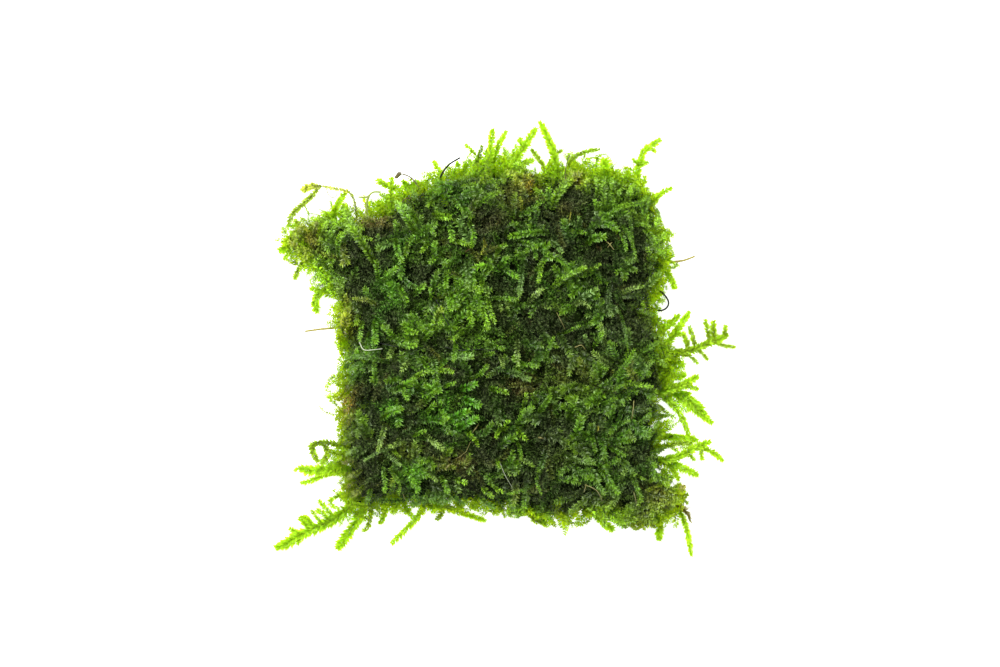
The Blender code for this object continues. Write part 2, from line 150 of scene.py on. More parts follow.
def felt_finish():
    finish = Finish("dark_felt")
    lumps, grain = finish.noise(FELT_LUMP), finish.noise(FELT_GRAIN, detail=5)
    # painted shade over the felt's own stain: near black, as the shade deep between the live shoots
    stain_and_shade = finish.mix(lumps, colour(8, 22, 0), colour(20, 32, 4))
    damp = finish.mix(grain ** 2, stain_and_shade, colour(38, 56, 12))
    return finish.wear(finish.node("ShaderNodeBsdfPrincipled", {}, {
        "Base Color": damp, "Roughness": 0.50 + grain * 0.3, "Specular IOR Level": 0.08,
        "Normal": finish.bump(grain + lumps, FELT_RELIEF)}))


BED_DEPTH, BED_SIDE_DEPTHS = 0.0022, (0.0026, 0.0048)  # how far the live shoots stand out of it
BED_LUMP, BED_ROUGHNESS = 0.0032, 0.0007  # the size of its lumps, and how far they stand out
BED_SHARE, BED_LOWEST = 0.35, 0.0009  # the most of the mat's thickness that it gives up, and its foot
SKIN, OPEN = 0.0002, 0.1  # a ray across the mat starts this far inside it, and is this long in the open
LEVEL = (1, 1, 0)
THIN_SIDE = np.array([0.35, 0.94, 0])


def unit(vectors):
    return vectors / np.maximum(np.linalg.norm(vectors, axis=-1, keepdims=True), 1e-12)


def thinness(points):
    """0 towards the mat's thickest edge, on the near left, and 1 towards its thinnest one."""
    return np.clip(0.5 + 0.8 * (unit(points * LEVEL) @ THIN_SIDE), 0, 1)


mat_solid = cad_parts["moss_mat"]
bed = bpy.data.objects.new("mat_bed", mat_solid.data.copy())
bpy.context.scene.collection.objects.link(bed)
bed.data.materials.clear()
bed.data.materials.append(felt_finish())
finer = bed.modifiers.new("finer", "SUBSURF")
finer.subdivision_type = "SIMPLE"
finer.levels = finer.render_levels = 1
evaluated = bed.evaluated_get(bpy.context.evaluated_depsgraph_get())
bed.modifiers.clear()
bed.data = bpy.data.meshes.new_from_object(evaluated)
surface = np.empty((2, len(bed.data.vertices), 3), np.float32)
bed.data.vertices.foreach_get("co", surface[0].ravel())
bed.data.vertices.foreach_get("normal", surface[1].ravel())
lumps = np.array([BED_ROUGHNESS * noise.noise(Vector(place) / BED_LUMP) for place in surface[0]])
steep = np.clip(1 - surface[1][:, 2], 0, 1) ** 2
side_depths = BED_SIDE_DEPTHS[0] + (BED_SIDE_DEPTHS[1] - BED_SIDE_DEPTHS[0]) * thinness(surface[0])
sunk = BED_DEPTH + (side_depths - BED_DEPTH) * steep + lumps
whole = BVHTree.FromPolygons(surface[0].tolist(), [tuple(face.vertices) for face in bed.data.polygons])
across = [whole.ray_cast(Vector(place - normal * SKIN), Vector(-normal))[3] or OPEN
          for place, normal in zip(*surface)]
sunk = np.minimum(sunk, BED_SHARE * np.array(across))
surface[0] -= surface[1] * sunk[:, None]
surface[0][:, 2] = np.maximum(surface[0][:, 2], BED_LOWEST)
bed.data.vertices.foreach_set("co", surface[0].ravel())
bed.data.shade_smooth()
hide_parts("moss_mat")
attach(bed, "root")

# ----------------------------------------------------------------------
# The old growth: dark shoots of past seasons, low on the bed, and the litter of brown bits under them.
# Each shoot is a thin stem with two ranks of small pointed leaves spread flat and one rank pressed along
# its back. New shoots grow over them and take their light.

PIXEL = 0.080 / 334  # metres across the mat for one pixel of the photograph
ORIGIN_COLUMN, ORIGIN_ROW = 505.7, 338.6
LIME, BRIGHT, FRESH = colour(150, 196, 20), colour(122, 168, 26), colour(94, 142, 20)
GREEN, DEEP, VIVID = colour(72, 116, 18), colour(50, 92, 16), colour(72, 136, 20)
GREY_GREEN, OLIVE, YELLOW = colour(92, 124, 60), colour(104, 112, 36), colour(160, 160, 46)
BROWN, RUST, PALE = colour(104, 84, 42), colour(158, 124, 34), colour(132, 160, 76)
DARK, GREY = colour(34, 52, 6), colour(46, 52, 34)

# Where the mat differs from plain green: column, row, half width, half height, tint and its share.
PATCHES = [
    (438, 215, 30, 22, FRESH, 0.4), (470, 305, 24, 26, FRESH, 0.6), (455, 412, 28, 20, VIVID, 0.5),
    (415, 477, 12, 16, VIVID, 0.7), (392, 412, 16, 10, VIVID, 0.6), (401, 253, 10, 16, VIVID, 0.6),
    (392, 290, 14, 16, VIVID, 0.5), (378, 330, 9, 18, VIVID, 0.5), (445, 193, 20, 12, VIVID, 0.5),
    (508, 272, 16, 12, VIVID, 0.4), (438, 326, 14, 10, FRESH, 0.6), (410, 332, 14, 12, FRESH, 0.6),
    (626, 208, 32, 14, FRESH, 0.6), (605, 186, 16, 18, FRESH, 0.6), (646, 350, 16, 12, FRESH, 0.6),
    (604, 478, 16, 16, FRESH, 0.5), (580, 415, 18, 22, FRESH, 0.4), (570, 278, 16, 10, FRESH, 0.5),
    (526, 185, 11, 9, RUST, 0.65), (508, 196, 16, 16, OLIVE, 0.7), (490, 222, 12, 8, BROWN, 0.7),
    (374, 221, 18, 11, BROWN, 0.8), (578, 180, 11, 9, RUST, 0.6), (565, 210, 8, 7, BROWN, 0.6),
    (344, 322, 12, 22, YELLOW, 0.7), (345, 402, 10, 18, RUST, 0.7), (354, 388, 10, 8, BROWN, 0.6),
    (352, 432, 12, 14, OLIVE, 0.6), (352, 482, 14, 12, OLIVE, 0.7), (410, 450, 16, 9, OLIVE, 0.6),
    (456, 461, 20, 9, BROWN, 0.6), (518, 386, 16, 9, BROWN, 0.5), (572, 378, 22, 24, OLIVE, 0.6),
    (568, 452, 18, 14, OLIVE, 0.6), (600, 502, 32, 9, OLIVE, 0.6), (664, 498, 18, 16, YELLOW, 0.5),
    (646, 516, 20, 14, OLIVE, 0.6), (652, 492, 8, 8, BROWN, 0.5), (668, 420, 12, 60, OLIVE, 0.5),
    (348, 378, 8, 8, OLIVE, 0.6), (347, 450, 9, 24, OLIVE, 0.6), (343, 466, 8, 8, BROWN, 0.6),
    (345, 418, 8, 14, BROWN, 0.5), (344, 490, 12, 8, YELLOW, 0.5), (470, 505, 70, 5, GREEN, 0.5),
    (349, 372, 11, 10, DEEP, 0.8), (366, 366, 8, 7, DEEP, 0.6), (477, 194, 10, 7, DEEP, 0.85),
    (608, 514, 18, 8, LIME, 0.85), (570, 288, 8, 7, DEEP, 0.6), (331, 233, 10, 9, FRESH, 0.6),
    (660, 272, 9, 10, DEEP, 0.75), (463, 202, 9, 8, DEEP, 0.8), (359, 424, 9, 10, DARK, 0.5),
    (646, 410, 8, 8, DEEP, 0.6), (383, 291, 7, 8, DEEP, 0.85), (501, 176, 7, 8, DEEP, 0.5),
    (659, 468, 9, 8, DEEP, 0.8), (448, 502, 13, 7, DEEP, 0.8), (352, 341, 8, 8, DEEP, 0.4),
    (570, 391, 9, 7, DEEP, 0.5), (575, 169, 8, 8, OLIVE, 0.5), (452, 184, 8, 7, GREEN, 0.6),
    (441, 210, 7, 6, DEEP, 0.6), (354, 376, 9, 8, DEEP, 0.5), (465, 306, 8, 8, DEEP, 0.75),
    (325, 242, 8, 8, FRESH, 0.6), (571, 266, 9, 8, DEEP, 0.8), (473, 170, 8, 7, GREEN, 0.5),
    (656, 516, 9, 7, LIME, 0.3), (531, 467, 8, 8, DARK, 0.7), (640, 410, 9, 8, DARK, 0.7),
    (511, 475, 10, 9, DARK, 0.75), (401, 210, 8, 8, DEEP, 0.6), (640, 433, 8, 8, DEEP, 0.6),
    (585, 413, 8, 8, DEEP, 0.6), (555, 434, 9, 8, DARK, 0.6), (340, 282, 7, 7, DEEP, 0.4),
    (466, 332, 8, 7, FRESH, 0.5), (305, 234, 9, 8, BRIGHT, 0.5), (446, 475, 8, 7, GREEN, 0.6),
    (636, 183, 10, 8, GREEN, 0.5), (588, 442, 50, 42, DEEP, 0.4), (434, 191, 38, 13, DEEP, 0.35),
    (644, 286, 13, 15, DEEP, 0.5), (356, 360, 11, 14, DEEP, 0.5), (356, 440, 11, 14, DEEP, 0.4),
    (513, 466, 16, 9, DEEP, 0.4), (617, 333, 12, 11, DEEP, 0.35), (463, 493, 15, 8, DEEP, 0.35),
    (420, 258, 32, 9, FRESH, 0.4), (486, 336, 34, 9, FRESH, 0.4), (562, 308, 13, 9, FRESH, 0.5),
    (613, 178, 11, 8, FRESH, 0.4), (560, 181, 8, 8, FRESH, 0.3), (644, 203, 11, 11, FRESH, 0.5),
    (590, 515, 16, 8, LIME, 0.8), (304, 256, 11, 8, YELLOW, 0.5), (513, 257, 12, 9, GREEN, 0.4),
    (565, 351, 8, 9, DARK, 0.5), (458, 190, 26, 6, DEEP, 0.45), (430, 500, 70, 6, DEEP, 0.8),
    (301, 235, 19, 14, YELLOW, 0.85), (315, 236, 7, 8, BROWN, 0.4), (610, 446, 50, 52, DEEP, 0.4),
]

# Where few new shoots grow and the old growth lies bare, and the leaves are painted grey and dark as the
# shade in these hollows: column, row, half width, half height.
HOLLOWS = [
    (570, 340, 17, 12), (545, 325, 26, 16), (611, 330, 11, 16), (640, 331, 17, 14), (635, 286, 17, 22),
    (638, 248, 9, 15), (567, 251, 10, 13), (600, 259, 18, 8), (592, 216, 8, 8), (590, 195, 10, 10),
    (571, 201, 10, 13), (553, 226, 7, 18), (487, 218, 14, 15), (482, 233, 10, 9), (421, 273, 18, 11),
    (387, 259, 9, 10), (368, 275, 8, 11), (353, 287, 11, 12), (353, 250, 8, 11), (369, 311, 9, 14),
    (402, 219, 6, 14), (419, 197, 7, 9), (376, 233, 12, 5), (508, 403, 8, 10), (485, 399, 7, 15),
    (546, 436, 16, 20), (487, 450, 12, 16), (468, 485, 17, 10), (435, 484, 10, 9), (376, 422, 8, 20),
    (378, 392, 15, 8), (413, 413, 9, 8), (393, 432, 8, 6), (410, 436, 8, 6), (433, 451, 10, 7),
    (446, 436, 10, 5), (454, 375, 11, 10), (447, 342, 9, 13), (392, 323, 9, 10), (384, 340, 5, 6),
    (397, 365, 10, 11), (502, 323, 10, 10), (500, 285, 13, 9), (527, 287, 9, 13), (641, 406, 7, 7),
    (610, 452, 6, 6), (615, 467, 6, 5), (638, 452, 9, 8), (562, 428, 12, 12), (597, 420, 8, 12),
    (627, 487, 9, 7), (544, 478, 6, 9), (514, 477, 9, 7), (536, 493, 9, 9), (578, 490, 20, 8),
    (373, 492, 13, 13), (362, 468, 14, 10), (362, 442, 16, 10), (623, 222, 7, 5), (564, 364, 8, 6),
    (581, 450, 8, 7), (635, 300, 9, 7), (492, 371, 8, 7), (492, 416, 8, 7), (494, 259, 7, 6),
    (412, 348, 7, 6), (441, 204, 6, 5), (524, 474, 9, 8), (588, 415, 8, 10), (507, 480, 9, 8),
    (427, 217, 6, 6), (507, 362, 7, 6), (412, 229, 6, 5), (505, 232, 8, 5), (405, 486, 6, 6),
    (530, 268, 7, 10), (563, 508, 16, 8), (470, 182, 6, 4),
]

points_of_mat = np.array([corner.co for corner in mat_solid.data.vertices])
mat_solid.data.calc_loop_triangles()
corners_of_mat = points_of_mat[np.array([face.vertices for face in mat_solid.data.loop_triangles])]
mat_tree = BVHTree.FromPolygons(
    points_of_mat.tolist(), [tuple(face.vertices) for face in mat_solid.data.loop_triangles])

MAP_STEP = 0.0008
map_corner, map_end = Vector(cad_box[0]), Vector(cad_box[1])


def map_heights():
    """The mat's top height on a grid over the clump, and 0 off the mat."""
    places = [np.arange(map_corner[axis], map_end[axis] + MAP_STEP, MAP_STEP) for axis in (0, 1)]
    heights = np.zeros((len(places[0]), len(places[1])))
    for i, x in enumerate(places[0]):
        for j, y in enumerate(places[1]):
            hit = mat_tree.ray_cast(Vector((x, y, 1)), Vector((0, 0, -1)))[0]
            heights[i, j] = hit.z if hit else 0
    return heights


def map_insets():
    """How far in from the mat's edge each place on that grid is, and 0 off the mat."""
    on_mat = mat_heights > 0
    padded = np.pad(on_mat, 1)
    within = padded[2:, 1:-1] & padded[:-2, 1:-1] & padded[1:-1, 2:] & padded[1:-1, :-2]
    edge = np.argwhere(on_mat & ~within)
    insets = np.zeros(mat_heights.shape)
    for cell in np.argwhere(on_mat):
        insets[tuple(cell)] = MAP_STEP * np.sqrt(((edge - cell) ** 2).sum(axis=1).min())
    return insets


mat_heights = map_heights()
mat_insets = map_insets()


def between(first, second, share):
    return first * (1 - share) + second * share


def on_map(values, points):
    """A map over the clump, read at each point."""
    at = [(points[..., axis] - map_corner[axis]) / MAP_STEP for axis in (0, 1)]
    i, j = (np.clip(a.astype(int), 0, size - 2) for a, size in zip(at, values.shape))
    right, up = (np.clip(a - cell, 0, 1) for a, cell in zip(at, (i, j)))
    near = between(values[i, j], values[i + 1, j], right)
    far = between(values[i, j + 1], values[i + 1, j + 1], right)
    return between(near, far, up)


def on_photo(points):
    """The column and row of the photograph that points of the clump are seen at."""
    return points[..., 0] / PIXEL + ORIGIN_COLUMN, ORIGIN_ROW - points[..., 1] / PIXEL


def nearness(columns, rows, spot, power=2):
    """1 at the middle of a spot, falling to 0 past its half width and half height."""
    column, row, half_width, half_height = spot
    return np.exp(-((columns - column) / half_width) ** power - ((rows - row) / half_height) ** power)


RIM_WIDTHS = (0.0032, 0.0064)  # how far in the mat lets light through, at its thickest and thinnest edge
WAVES, RIPPLES = (9.1, 7.3), (4.3, 3.7)  # pixels along and across the photograph
WAVE_HEIGHT, RIPPLE_HEIGHT = 0.35, 0.25


def rim_share(points):
    """1 at the mat's edge and outside it, falling to 0 a rim's uneven width inside it."""
    widths = RIM_WIDTHS[0] + (RIM_WIDTHS[1] - RIM_WIDTHS[0]) * thinness(points)
    columns, rows = on_photo(points)
    uneven = 1 + WAVE_HEIGHT * np.sin(columns / WAVES[0]) * np.sin(rows / WAVES[1] + 1)
    uneven = uneven + RIPPLE_HEIGHT * np.sin(columns / RIPPLES[0] - rows / RIPPLES[1])
    return np.clip(1 - on_map(mat_insets, points) / (widths * uneven), 0, 1)


HOLLOW_FULLNESS, PATCH_FULLNESS = 1.5, 1.4  # past 1, the middle of a spot is full over some breadth


def hollow_share(points):
    """How near each point is to the middle of a hollow: 1 there and 0 away from all of them."""
    columns, rows = on_photo(points)
    share = np.zeros(columns.shape)
    for hollow in HOLLOWS:
        near = np.clip(nearness(columns, rows, hollow) * HOLLOW_FULLNESS, 0, 1)
        share = np.maximum(share, near)
    return share


def patched(points, tints, strength=1.0):
    """The tints of leaves at points, drawn towards those of the patches that they lie in."""
    columns, rows = on_photo(points)
    for *patch, tint, most in PATCHES:
        near = np.clip(nearness(columns, rows, patch) * PATCH_FULLNESS, 0, 1)
        tints = between(tints, tint, (strength * most * near)[:, None])
    return tints


DARK_BELOW, BRIGHT_ABOVE = -0.0022, 0.0012  # leaves that lie deep are darker, as older growth and as painted shade deep in the mat
DARKEST, BRIGHTEST = 0.34, 1.20
RIM_LIME, THIN_RIM_LIME = 0.62, 0.24  # how lime the rim is painted, as the glow of the light through it, and how much more so where it is thin
LIME_SHADES = (0.4, 1.5)  # the darkest and the brightest lime, by how bright the shoot itself is
HOLLOW_GREY_AND_SHADE = 0.68


def grown_tints(points, own):
    """The colour of each leaf that sits at points: its shoot's own and the patches, with painted shade grey
    in the hollows and dark in the depths, where the growth is also older, and a painted lime glow at the
    rim.
    """
    rim = rim_share(points)
    # painted glow: near the mat's edge, most where it is thin, leaves are drawn to lime as if lit through
    # from below
    painted_rim_glow = (RIM_LIME + THIN_RIM_LIME * thinness(points)) * rim ** 1.2
    shade = np.clip(own[:, 1:2] / GREEN[1], *LIME_SHADES) ** 0.8
    tints = patched(points, between(own, LIME * shade, painted_rim_glow[:, None]))
    # painted shade in the hollows: their leaves drawn to a dark grey, partly the old growth's own colour
    # and partly shade
    tints = between(tints, GREY, HOLLOW_GREY_AND_SHADE * hollow_share(points)[:, None])
    # painted shade and light: leaves low in the mat darker and high ones brighter, and leaves on the rim
    # kept bright
    above = points[..., 2] - on_map(mat_heights, points)
    above = np.clip((above - DARK_BELOW) / (BRIGHT_ABOVE - DARK_BELOW), 0, 1)
    return tints * (DARKEST + (BRIGHTEST - DARKEST) * np.maximum(above, rim))[:, None]


def frames_along(spines, ups):
    """The direction, side and upper side at each point of each spine, as (spines, points, 3)."""
    ahead = unit(np.gradient(spines, axis=1))
    beside = unit(np.cross(ahead, ups[:, None]))
    return ahead, beside, np.cross(beside, ahead)


def at_share(values, shoot, share):
    """Values given at each point of each spine, read at a share of the way along some of them."""
    place = share * (values.shape[1] - 1)
    cell = np.minimum(place.astype(int), values.shape[1] - 2)
    return between(values[shoot, cell], values[shoot, cell + 1], (place - cell)[:, None])


def run_lengths(spines):
    return np.linalg.norm(np.diff(spines, axis=1), axis=2).sum(axis=1)


def leaf_lengths(share):
    """How long the leaves are along a shoot: short at its foot, full, then short at its blunt tip."""
    foot = 0.70 + 0.30 * np.clip(share / 0.25, 0, 1)
    return foot * (1 - 0.35 * np.clip((share - 0.84) / 0.16, 0, 1) ** 2)


# Each rank of leaves: its side, its angle from the stem, its lift, and its length for a side one's.
SIDE_ANGLE = 62
RANKS = ((-1, SIDE_ANGLE, 6, 1.0), (1, SIDE_ANGLE, 6, 1.0), (0, 34, 30, 0.72))
FULL_RANKS = (*RANKS[:2], (-1, 36, 30, 0.78), (1, 36, 30, 0.78))
LEAF_CORNERS = np.array([
    # (along, across, above) of a leaf's foot, left edge, right edge and point: it is folded lengthwise
    (0.0, 0.0, 0.0), (0.45, -0.5, 0.12), (0.45, 0.5, 0.12), (1.0, 0.0, 0.02)])
LEAF_FACES = np.array([(0, 2, 3), (0, 3, 1)])
LEAF_PLACES = np.array([(0.5, 0.1), (0.15, 0.5), (0.85, 0.5), (0.5, 0.9)])
LEAF_SLIMNESS, LEAF_SPACING = 0.37, 0.00042  # its width as a share of its length, and metres between two
TURN_SPREAD, LIFT_SPREAD, ROLL_SPREAD = 8, 13, 0.45  # degrees, degrees and radians
LENGTH_SPREAD, DROOP_SPREAD = (0.86, 1.14), (-0.05, 0.22)
FEWEST_LEAVES = 4  # of a rank, on the shortest shoot
STEM_RADIUS, STEM_SIDES = 0.00013, 3
LOWEST = 0.0002


class Growth:
    """Leaves and stems on their way to one mesh: corners, faces, and what the finish reads of each."""

    def __init__(self, seed):
        self.random = np.random.default_rng(seed)
        self.corners, self.faces, self.tints, self.marks, self.places = [], [], [], [], []
        self.count = self.cells = 0

    def add(self, corners, faces, tints, marks, places):
        """Adds equal shapes: each array's first axis is the shape, and each has a cell of the map."""
        shapes, points = corners.shape[:2]
        corners[:, :, 2] = np.maximum(corners[:, :, 2], LOWEST)
        first = self.count + np.arange(shapes)[:, None, None] * points
        self.corners.append(corners.reshape(-1, 3))
        self.faces.append((first + faces[None]).reshape(-1, 3))
        self.tints.append(tints.reshape(-1, 3))
        self.marks.append(marks.reshape(-1, 3))
        self.places.append((np.broadcast_to(places, (shapes, points, 2)), self.cells + np.arange(shapes)))
        self.count += shapes * points
        self.cells += shapes

    def leaves(self, spines, ups, widths, tint_at, spacing=LEAF_SPACING, ranks=RANKS, jitter=1.0,
               slimness=LEAF_SLIMNESS):
        """Leaves all along each spine. tint_at gives their colours for their feet, spine and share."""
        random = self.random
        frames = spines, *frames_along(spines, ups)
        counts = np.maximum(FEWEST_LEAVES, (run_lengths(spines) / spacing).astype(int))
        shoot = np.repeat(np.arange(len(spines)), counts)
        step = np.concatenate([np.arange(count) for count in counts])
        many = len(shoot)
        widest = math.radians(max(angle for _, angle, _, _ in ranks))
        for side, angle, lift, relative in ranks:
            share = np.clip((step + 0.6 + random.uniform(-0.3, 0.3, many)) / counts[shoot], 0, 1)
            foot, ahead, beside, above = (at_share(values, shoot, share) for values in frames)
            sides = np.full(many, side) if side else np.where(step % 2, 1, -1)
            closing = 1 - 0.35 * np.clip((share - 0.85) / 0.15, 0, 1)
            turn = np.radians(angle * closing + jitter * random.normal(0, TURN_SPREAD, many))[:, None]
            raised = np.radians(lift + jitter * random.normal(0, LIFT_SPREAD, many))[:, None]
            flat = np.cos(turn) * ahead + sides[:, None] * np.sin(turn) * beside
            lengthwise = np.cos(raised) * flat + np.sin(raised) * above
            across = unit(np.cross(above, lengthwise))
            normal = np.cross(lengthwise, across)
            roll = jitter * random.normal(0, ROLL_SPREAD, many)[:, None]
            across = np.cos(roll) * across + np.sin(roll) * normal
            normal = np.cross(lengthwise, across)
            length = (widths[shoot] / 2 / math.sin(widest) * leaf_lengths(share)
                      * relative * random.uniform(*LENGTH_SPREAD, many))
            leaf = np.broadcast_to(LEAF_CORNERS, (many, *LEAF_CORNERS.shape)).copy()
            leaf[:, -1, 2] -= random.uniform(*DROOP_SPREAD, many)
            leaf[:, :, 1] *= slimness
            corners = foot[:, None] + length[:, None, None] * (
                leaf[:, :, 0:1] * lengthwise[:, None] + leaf[:, :, 1:2] * across[:, None]
                + leaf[:, :, 2:3] * normal[:, None])
            marks = np.empty(corners.shape)
            marks[:, :, 0] = LEAF_CORNERS[:, 0]
            marks[:, :, 1] = share[:, None]
            marks[:, :, 2] = random.uniform(0, 1, many)[:, None]
            tints = np.repeat(tint_at(foot, shoot, share)[:, None], len(LEAF_CORNERS), axis=1)
            self.add(corners, LEAF_FACES, tints, marks, LEAF_PLACES)

    def stems(self, spines, ups, radii, tint_at, sides=STEM_SIDES, every=2, tip=0.4):
        """A tapering tube along each spine, closed at its tip and at its foot."""
        spines = spines[:, ::every]
        aheads, besides, aboves = frames_along(spines, ups)
        count = spines.shape[1]
        share = np.linspace(0, 1, count)
        turns = (np.arange(sides) / sides * 2 * math.pi)[:, None]
        taper = (radii[:, None] * (1 - (1 - tip) * share))[:, :, None, None]
        ring = np.cos(turns) * besides[:, :, None] + np.sin(turns) * aboves[:, :, None]
        corners = (spines[:, :, None] + taper * ring).reshape(len(spines), -1, 3)
        foot_end = spines[:, 0] - aheads[:, 0] * radii[:, None]
        tip_end = spines[:, -1] + aheads[:, -1] * radii[:, None] * tip
        corners = np.concatenate([corners, foot_end[:, None], tip_end[:, None]], axis=1)
        faces = []
        for k in range(count - 1):
            for side in range(sides):
                a, b = k * sides + side, k * sides + (side + 1) % sides
                faces += [(a, b, b + sides), (a, b + sides, a + sides)]
        last = (count - 1) * sides
        for side in range(sides):
            after = (side + 1) % sides
            faces += [(after, side, last + sides), (last + side, last + after, last + sides + 1)]
        shares = np.concatenate([np.repeat(share, sides), [0, 1]])
        shoot = np.repeat(np.arange(len(spines)), len(shares))
        tints = tint_at(corners.reshape(-1, 3), shoot, np.tile(shares, len(spines)))
        marks = np.zeros(corners.shape)
        marks[:, :, 1] = shares
        marks[:, :, 2] = 0.5
        around = np.concatenate([np.tile(np.arange(sides) / sides, count), [0.5, 0.5]])
        places = 0.1 + 0.8 * np.column_stack([around, shares])
        self.add(corners, np.array(faces), tints.reshape(corners.shape), marks, places)

    def shoots(self, spines, ups, widths, tint_at, light=(1.0, 0.0), stem_shade=0.6,
               stem_radius=STEM_RADIUS, **leaf_way):
        """Leafy shoots and their stems. light scales the leaves' tints at the foot, and so much more at the
        tip: painted shade low on a shoot and painted light towards its tip.
        """

        def leaf_tints(feet, shoot, share):
            return tint_at(feet, shoot, share) * (light[0] + light[1] * share)[:, None]

        def stem_tints(points, shoot, share):
            return tint_at(points, shoot, share) * stem_shade

        self.leaves(spines, ups, widths, leaf_tints, **leaf_way)
        self.stems(spines, ups, np.full(len(spines), stem_radius), stem_tints)

    def piece(self, name, material, slot, *nodes):
        """Makes the mesh an object that stands for those CAD nodes."""
        corners, faces = np.concatenate(self.corners), np.concatenate(self.faces)
        mesh = bpy.data.meshes.new(name)
        mesh.vertices.add(len(corners))
        mesh.vertices.foreach_set("co", corners.astype(np.float32).ravel())
        mesh.loops.add(faces.size)
        mesh.loops.foreach_set("vertex_index", faces.astype(np.int32).ravel())
        mesh.polygons.add(len(faces))
        mesh.polygons.foreach_set("loop_start", np.arange(0, faces.size, 3, dtype=np.int32))
        mesh.polygons.foreach_set("use_smooth", np.ones(len(faces), bool))
        mesh.update(calc_edges=True)
        tints = np.column_stack([np.concatenate(self.tints), np.ones(len(corners))])
        tint = mesh.attributes.new("tint", "FLOAT_COLOR", "POINT")
        tint.data.foreach_set("color", tints.astype(np.float32).ravel())
        marks = mesh.attributes.new("marks", "FLOAT_VECTOR", "POINT")
        marks.data.foreach_set("vector", np.concatenate(self.marks).astype(np.float32).ravel())
        across = math.ceil(math.sqrt(self.cells))
        places = np.concatenate([
            ((places + np.stack([cell % across, cell // across], axis=1)[:, None]) / across).reshape(-1, 2)
            for places, cell in self.places])
        layer = mesh.uv_layers.new(name="OFBake")
        layer.uv.foreach_set("vector", places[faces.ravel()].astype(np.float32).ravel())
        mesh.materials.append(material)
        made = bpy.data.objects.new(name, mesh)
        bpy.context.scene.collection.objects.link(made)
        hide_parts(*nodes)
        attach(made, "root")


LEAF_BLOTCH, LEAF_CELL, LEAF_RELIEF = 0.0016, 0.00028, 0.00012
THIN_PATCH = 0.0022  # the size of the places where more light comes through


def leaf_finish(name, through, share, young=0.45, gloss=0.4, uneven=0.0, glint=(0.85, 1.0, 0.55)):
    """Thin wet leaves, their feet painted dark as shade and their points painted pale as glints. A share of
    the light comes through them, in the colour through, by more or less where that is uneven. The shoots'
    tips are lime for young, and glint tints the gloss."""
    finish = Finish(name)
    tint, marks = finish.mark("tint", "Color"), finish.mark("marks", "Vector")
    pointward, tipward, chance = (
        finish.node("ShaderNodeSeparateXYZ", {}, {"Vector": marks}, out=part) for part in (0, 1, 2))
    blotches, cells = finish.noise(LEAF_BLOTCH, detail=2), finish.noise(LEAF_CELL, detail=2)
    # painted light and shade: each leaf dark at its foot, in the shade of those over it, and light at its
    # point; random leaves and fine specks much lighter as glints; the blotches are the leaves' own tone
    tone_and_painted_light = (pointward ** 2 * 1.45 + chance ** 2 * 1.9 + tipward * 0.25
                 + blotches * 0.2 + cells * 2.6 - 1.55).at_least(0.05)
    shaded = finish.mix(1.0, tint, tone_and_painted_light, "MULTIPLY")
    fresh = finish.mix(tipward ** 6 * young, shaded, LIME)
    # painted glints: the points of some leaves drawn to a pale grey-green
    pale = finish.mix(pointward ** 4 * chance * 0.7, fresh, colour(170, 194, 118))
    leaf = finish.node("ShaderNodeBsdfPrincipled", {}, {
        "Base Color": pale, "Roughness": 0.16 + cells * 0.24, "Specular IOR Level": gloss,
        "Specular Tint": (*glint, 1), "Normal": finish.bump(cells, LEAF_RELIEF)})
    if uneven:
        thin = 1 - uneven + finish.noise(THIN_PATCH, detail=1) * (2 * uneven) + (chance - 0.5) * uneven
        share = thin.at_least(0.05) * share
    return finish.wear(finish.lit_through(share, leaf, through))


def surface_points(random, count, lowest_lean, highest_lean):
    """Points spread over the part of the mat that leans between those two limits, and its normals."""
    edges = corners_of_mat[:, 1:] - corners_of_mat[:, :1]
    crosses = np.cross(edges[:, 0], edges[:, 1])
    lean = unit(crosses)[:, 2]
    area = np.linalg.norm(crosses, axis=1) * ((lean > lowest_lean) & (lean <= highest_lean))
    chosen = random.choice(len(area), count, p=area / area.sum())
    u, v = random.uniform(0, 1, (2, count))
    u, v = np.where(u + v > 1, 1 - u, u), np.where(u + v > 1, 1 - v, v)
    points = corners_of_mat[chosen, 0] + u[:, None] * edges[chosen, 0] + v[:, None] * edges[chosen, 1]
    return points, unit(crosses)[chosen]


SHOOT_POINTS = 9


def spines_to(tips, headings, ups, lengths, climbs, bends):
    """Spines that end at tips: they head out along headings, and climb and bend as they go."""
    share = np.linspace(0, 1, SHOOT_POINTS - 1)[None, :, None]
    beside = np.cross(ups, headings)
    climb = between(climbs[:, 0, None, None], climbs[:, 1, None, None], share)
    bend = bends[:, None, None] * (share - 0.5)
    level = np.cos(bend) * headings[:, None] + np.sin(bend) * beside[:, None]
    steps = (lengths / (SHOOT_POINTS - 1))[:, None, None]
    steps = (np.cos(climb) * level + np.sin(climb) * ups[:, None]) * steps
    run = np.concatenate([np.zeros((len(tips), 1, 3)), np.cumsum(steps, axis=1)], axis=1)
    return run + (tips - run[:, -1])[:, None]


def headings_on(random, normals, pull):
    """Random headings along the surface, drawn by pull."""
    headings = unit(random.normal(size=normals.shape)) + pull
    return unit(headings - (headings * normals).sum(axis=1, keepdims=True) * normals)


def tilted(random, ups, spread):
    """Upper sides that are turned a little at random, so that no two shoots face alike."""
    return unit(ups + spread * random.normal(size=ups.shape))


SWIRL_SIZE, SWIRL_PULL = 0.014, 1.6
ROOT_DEPTH = 0.0004
TINT_SPREAD = (0.74, 1.28)  # the darkest and the brightest shoot of one tint
UP = np.array([0, 0, 1.0])
TOP_LEAN, BEND_SPREAD = 0.35, 0.55  # how steep the mat's top may be, and how much its shoots bend
MIDDLE_PULL, RIM_PULL = 0.2, 1.6  # how strongly shoots are drawn outward, and how much more at the rim
noise.seed_set(2)  # or else the noise of vectors differs at every run


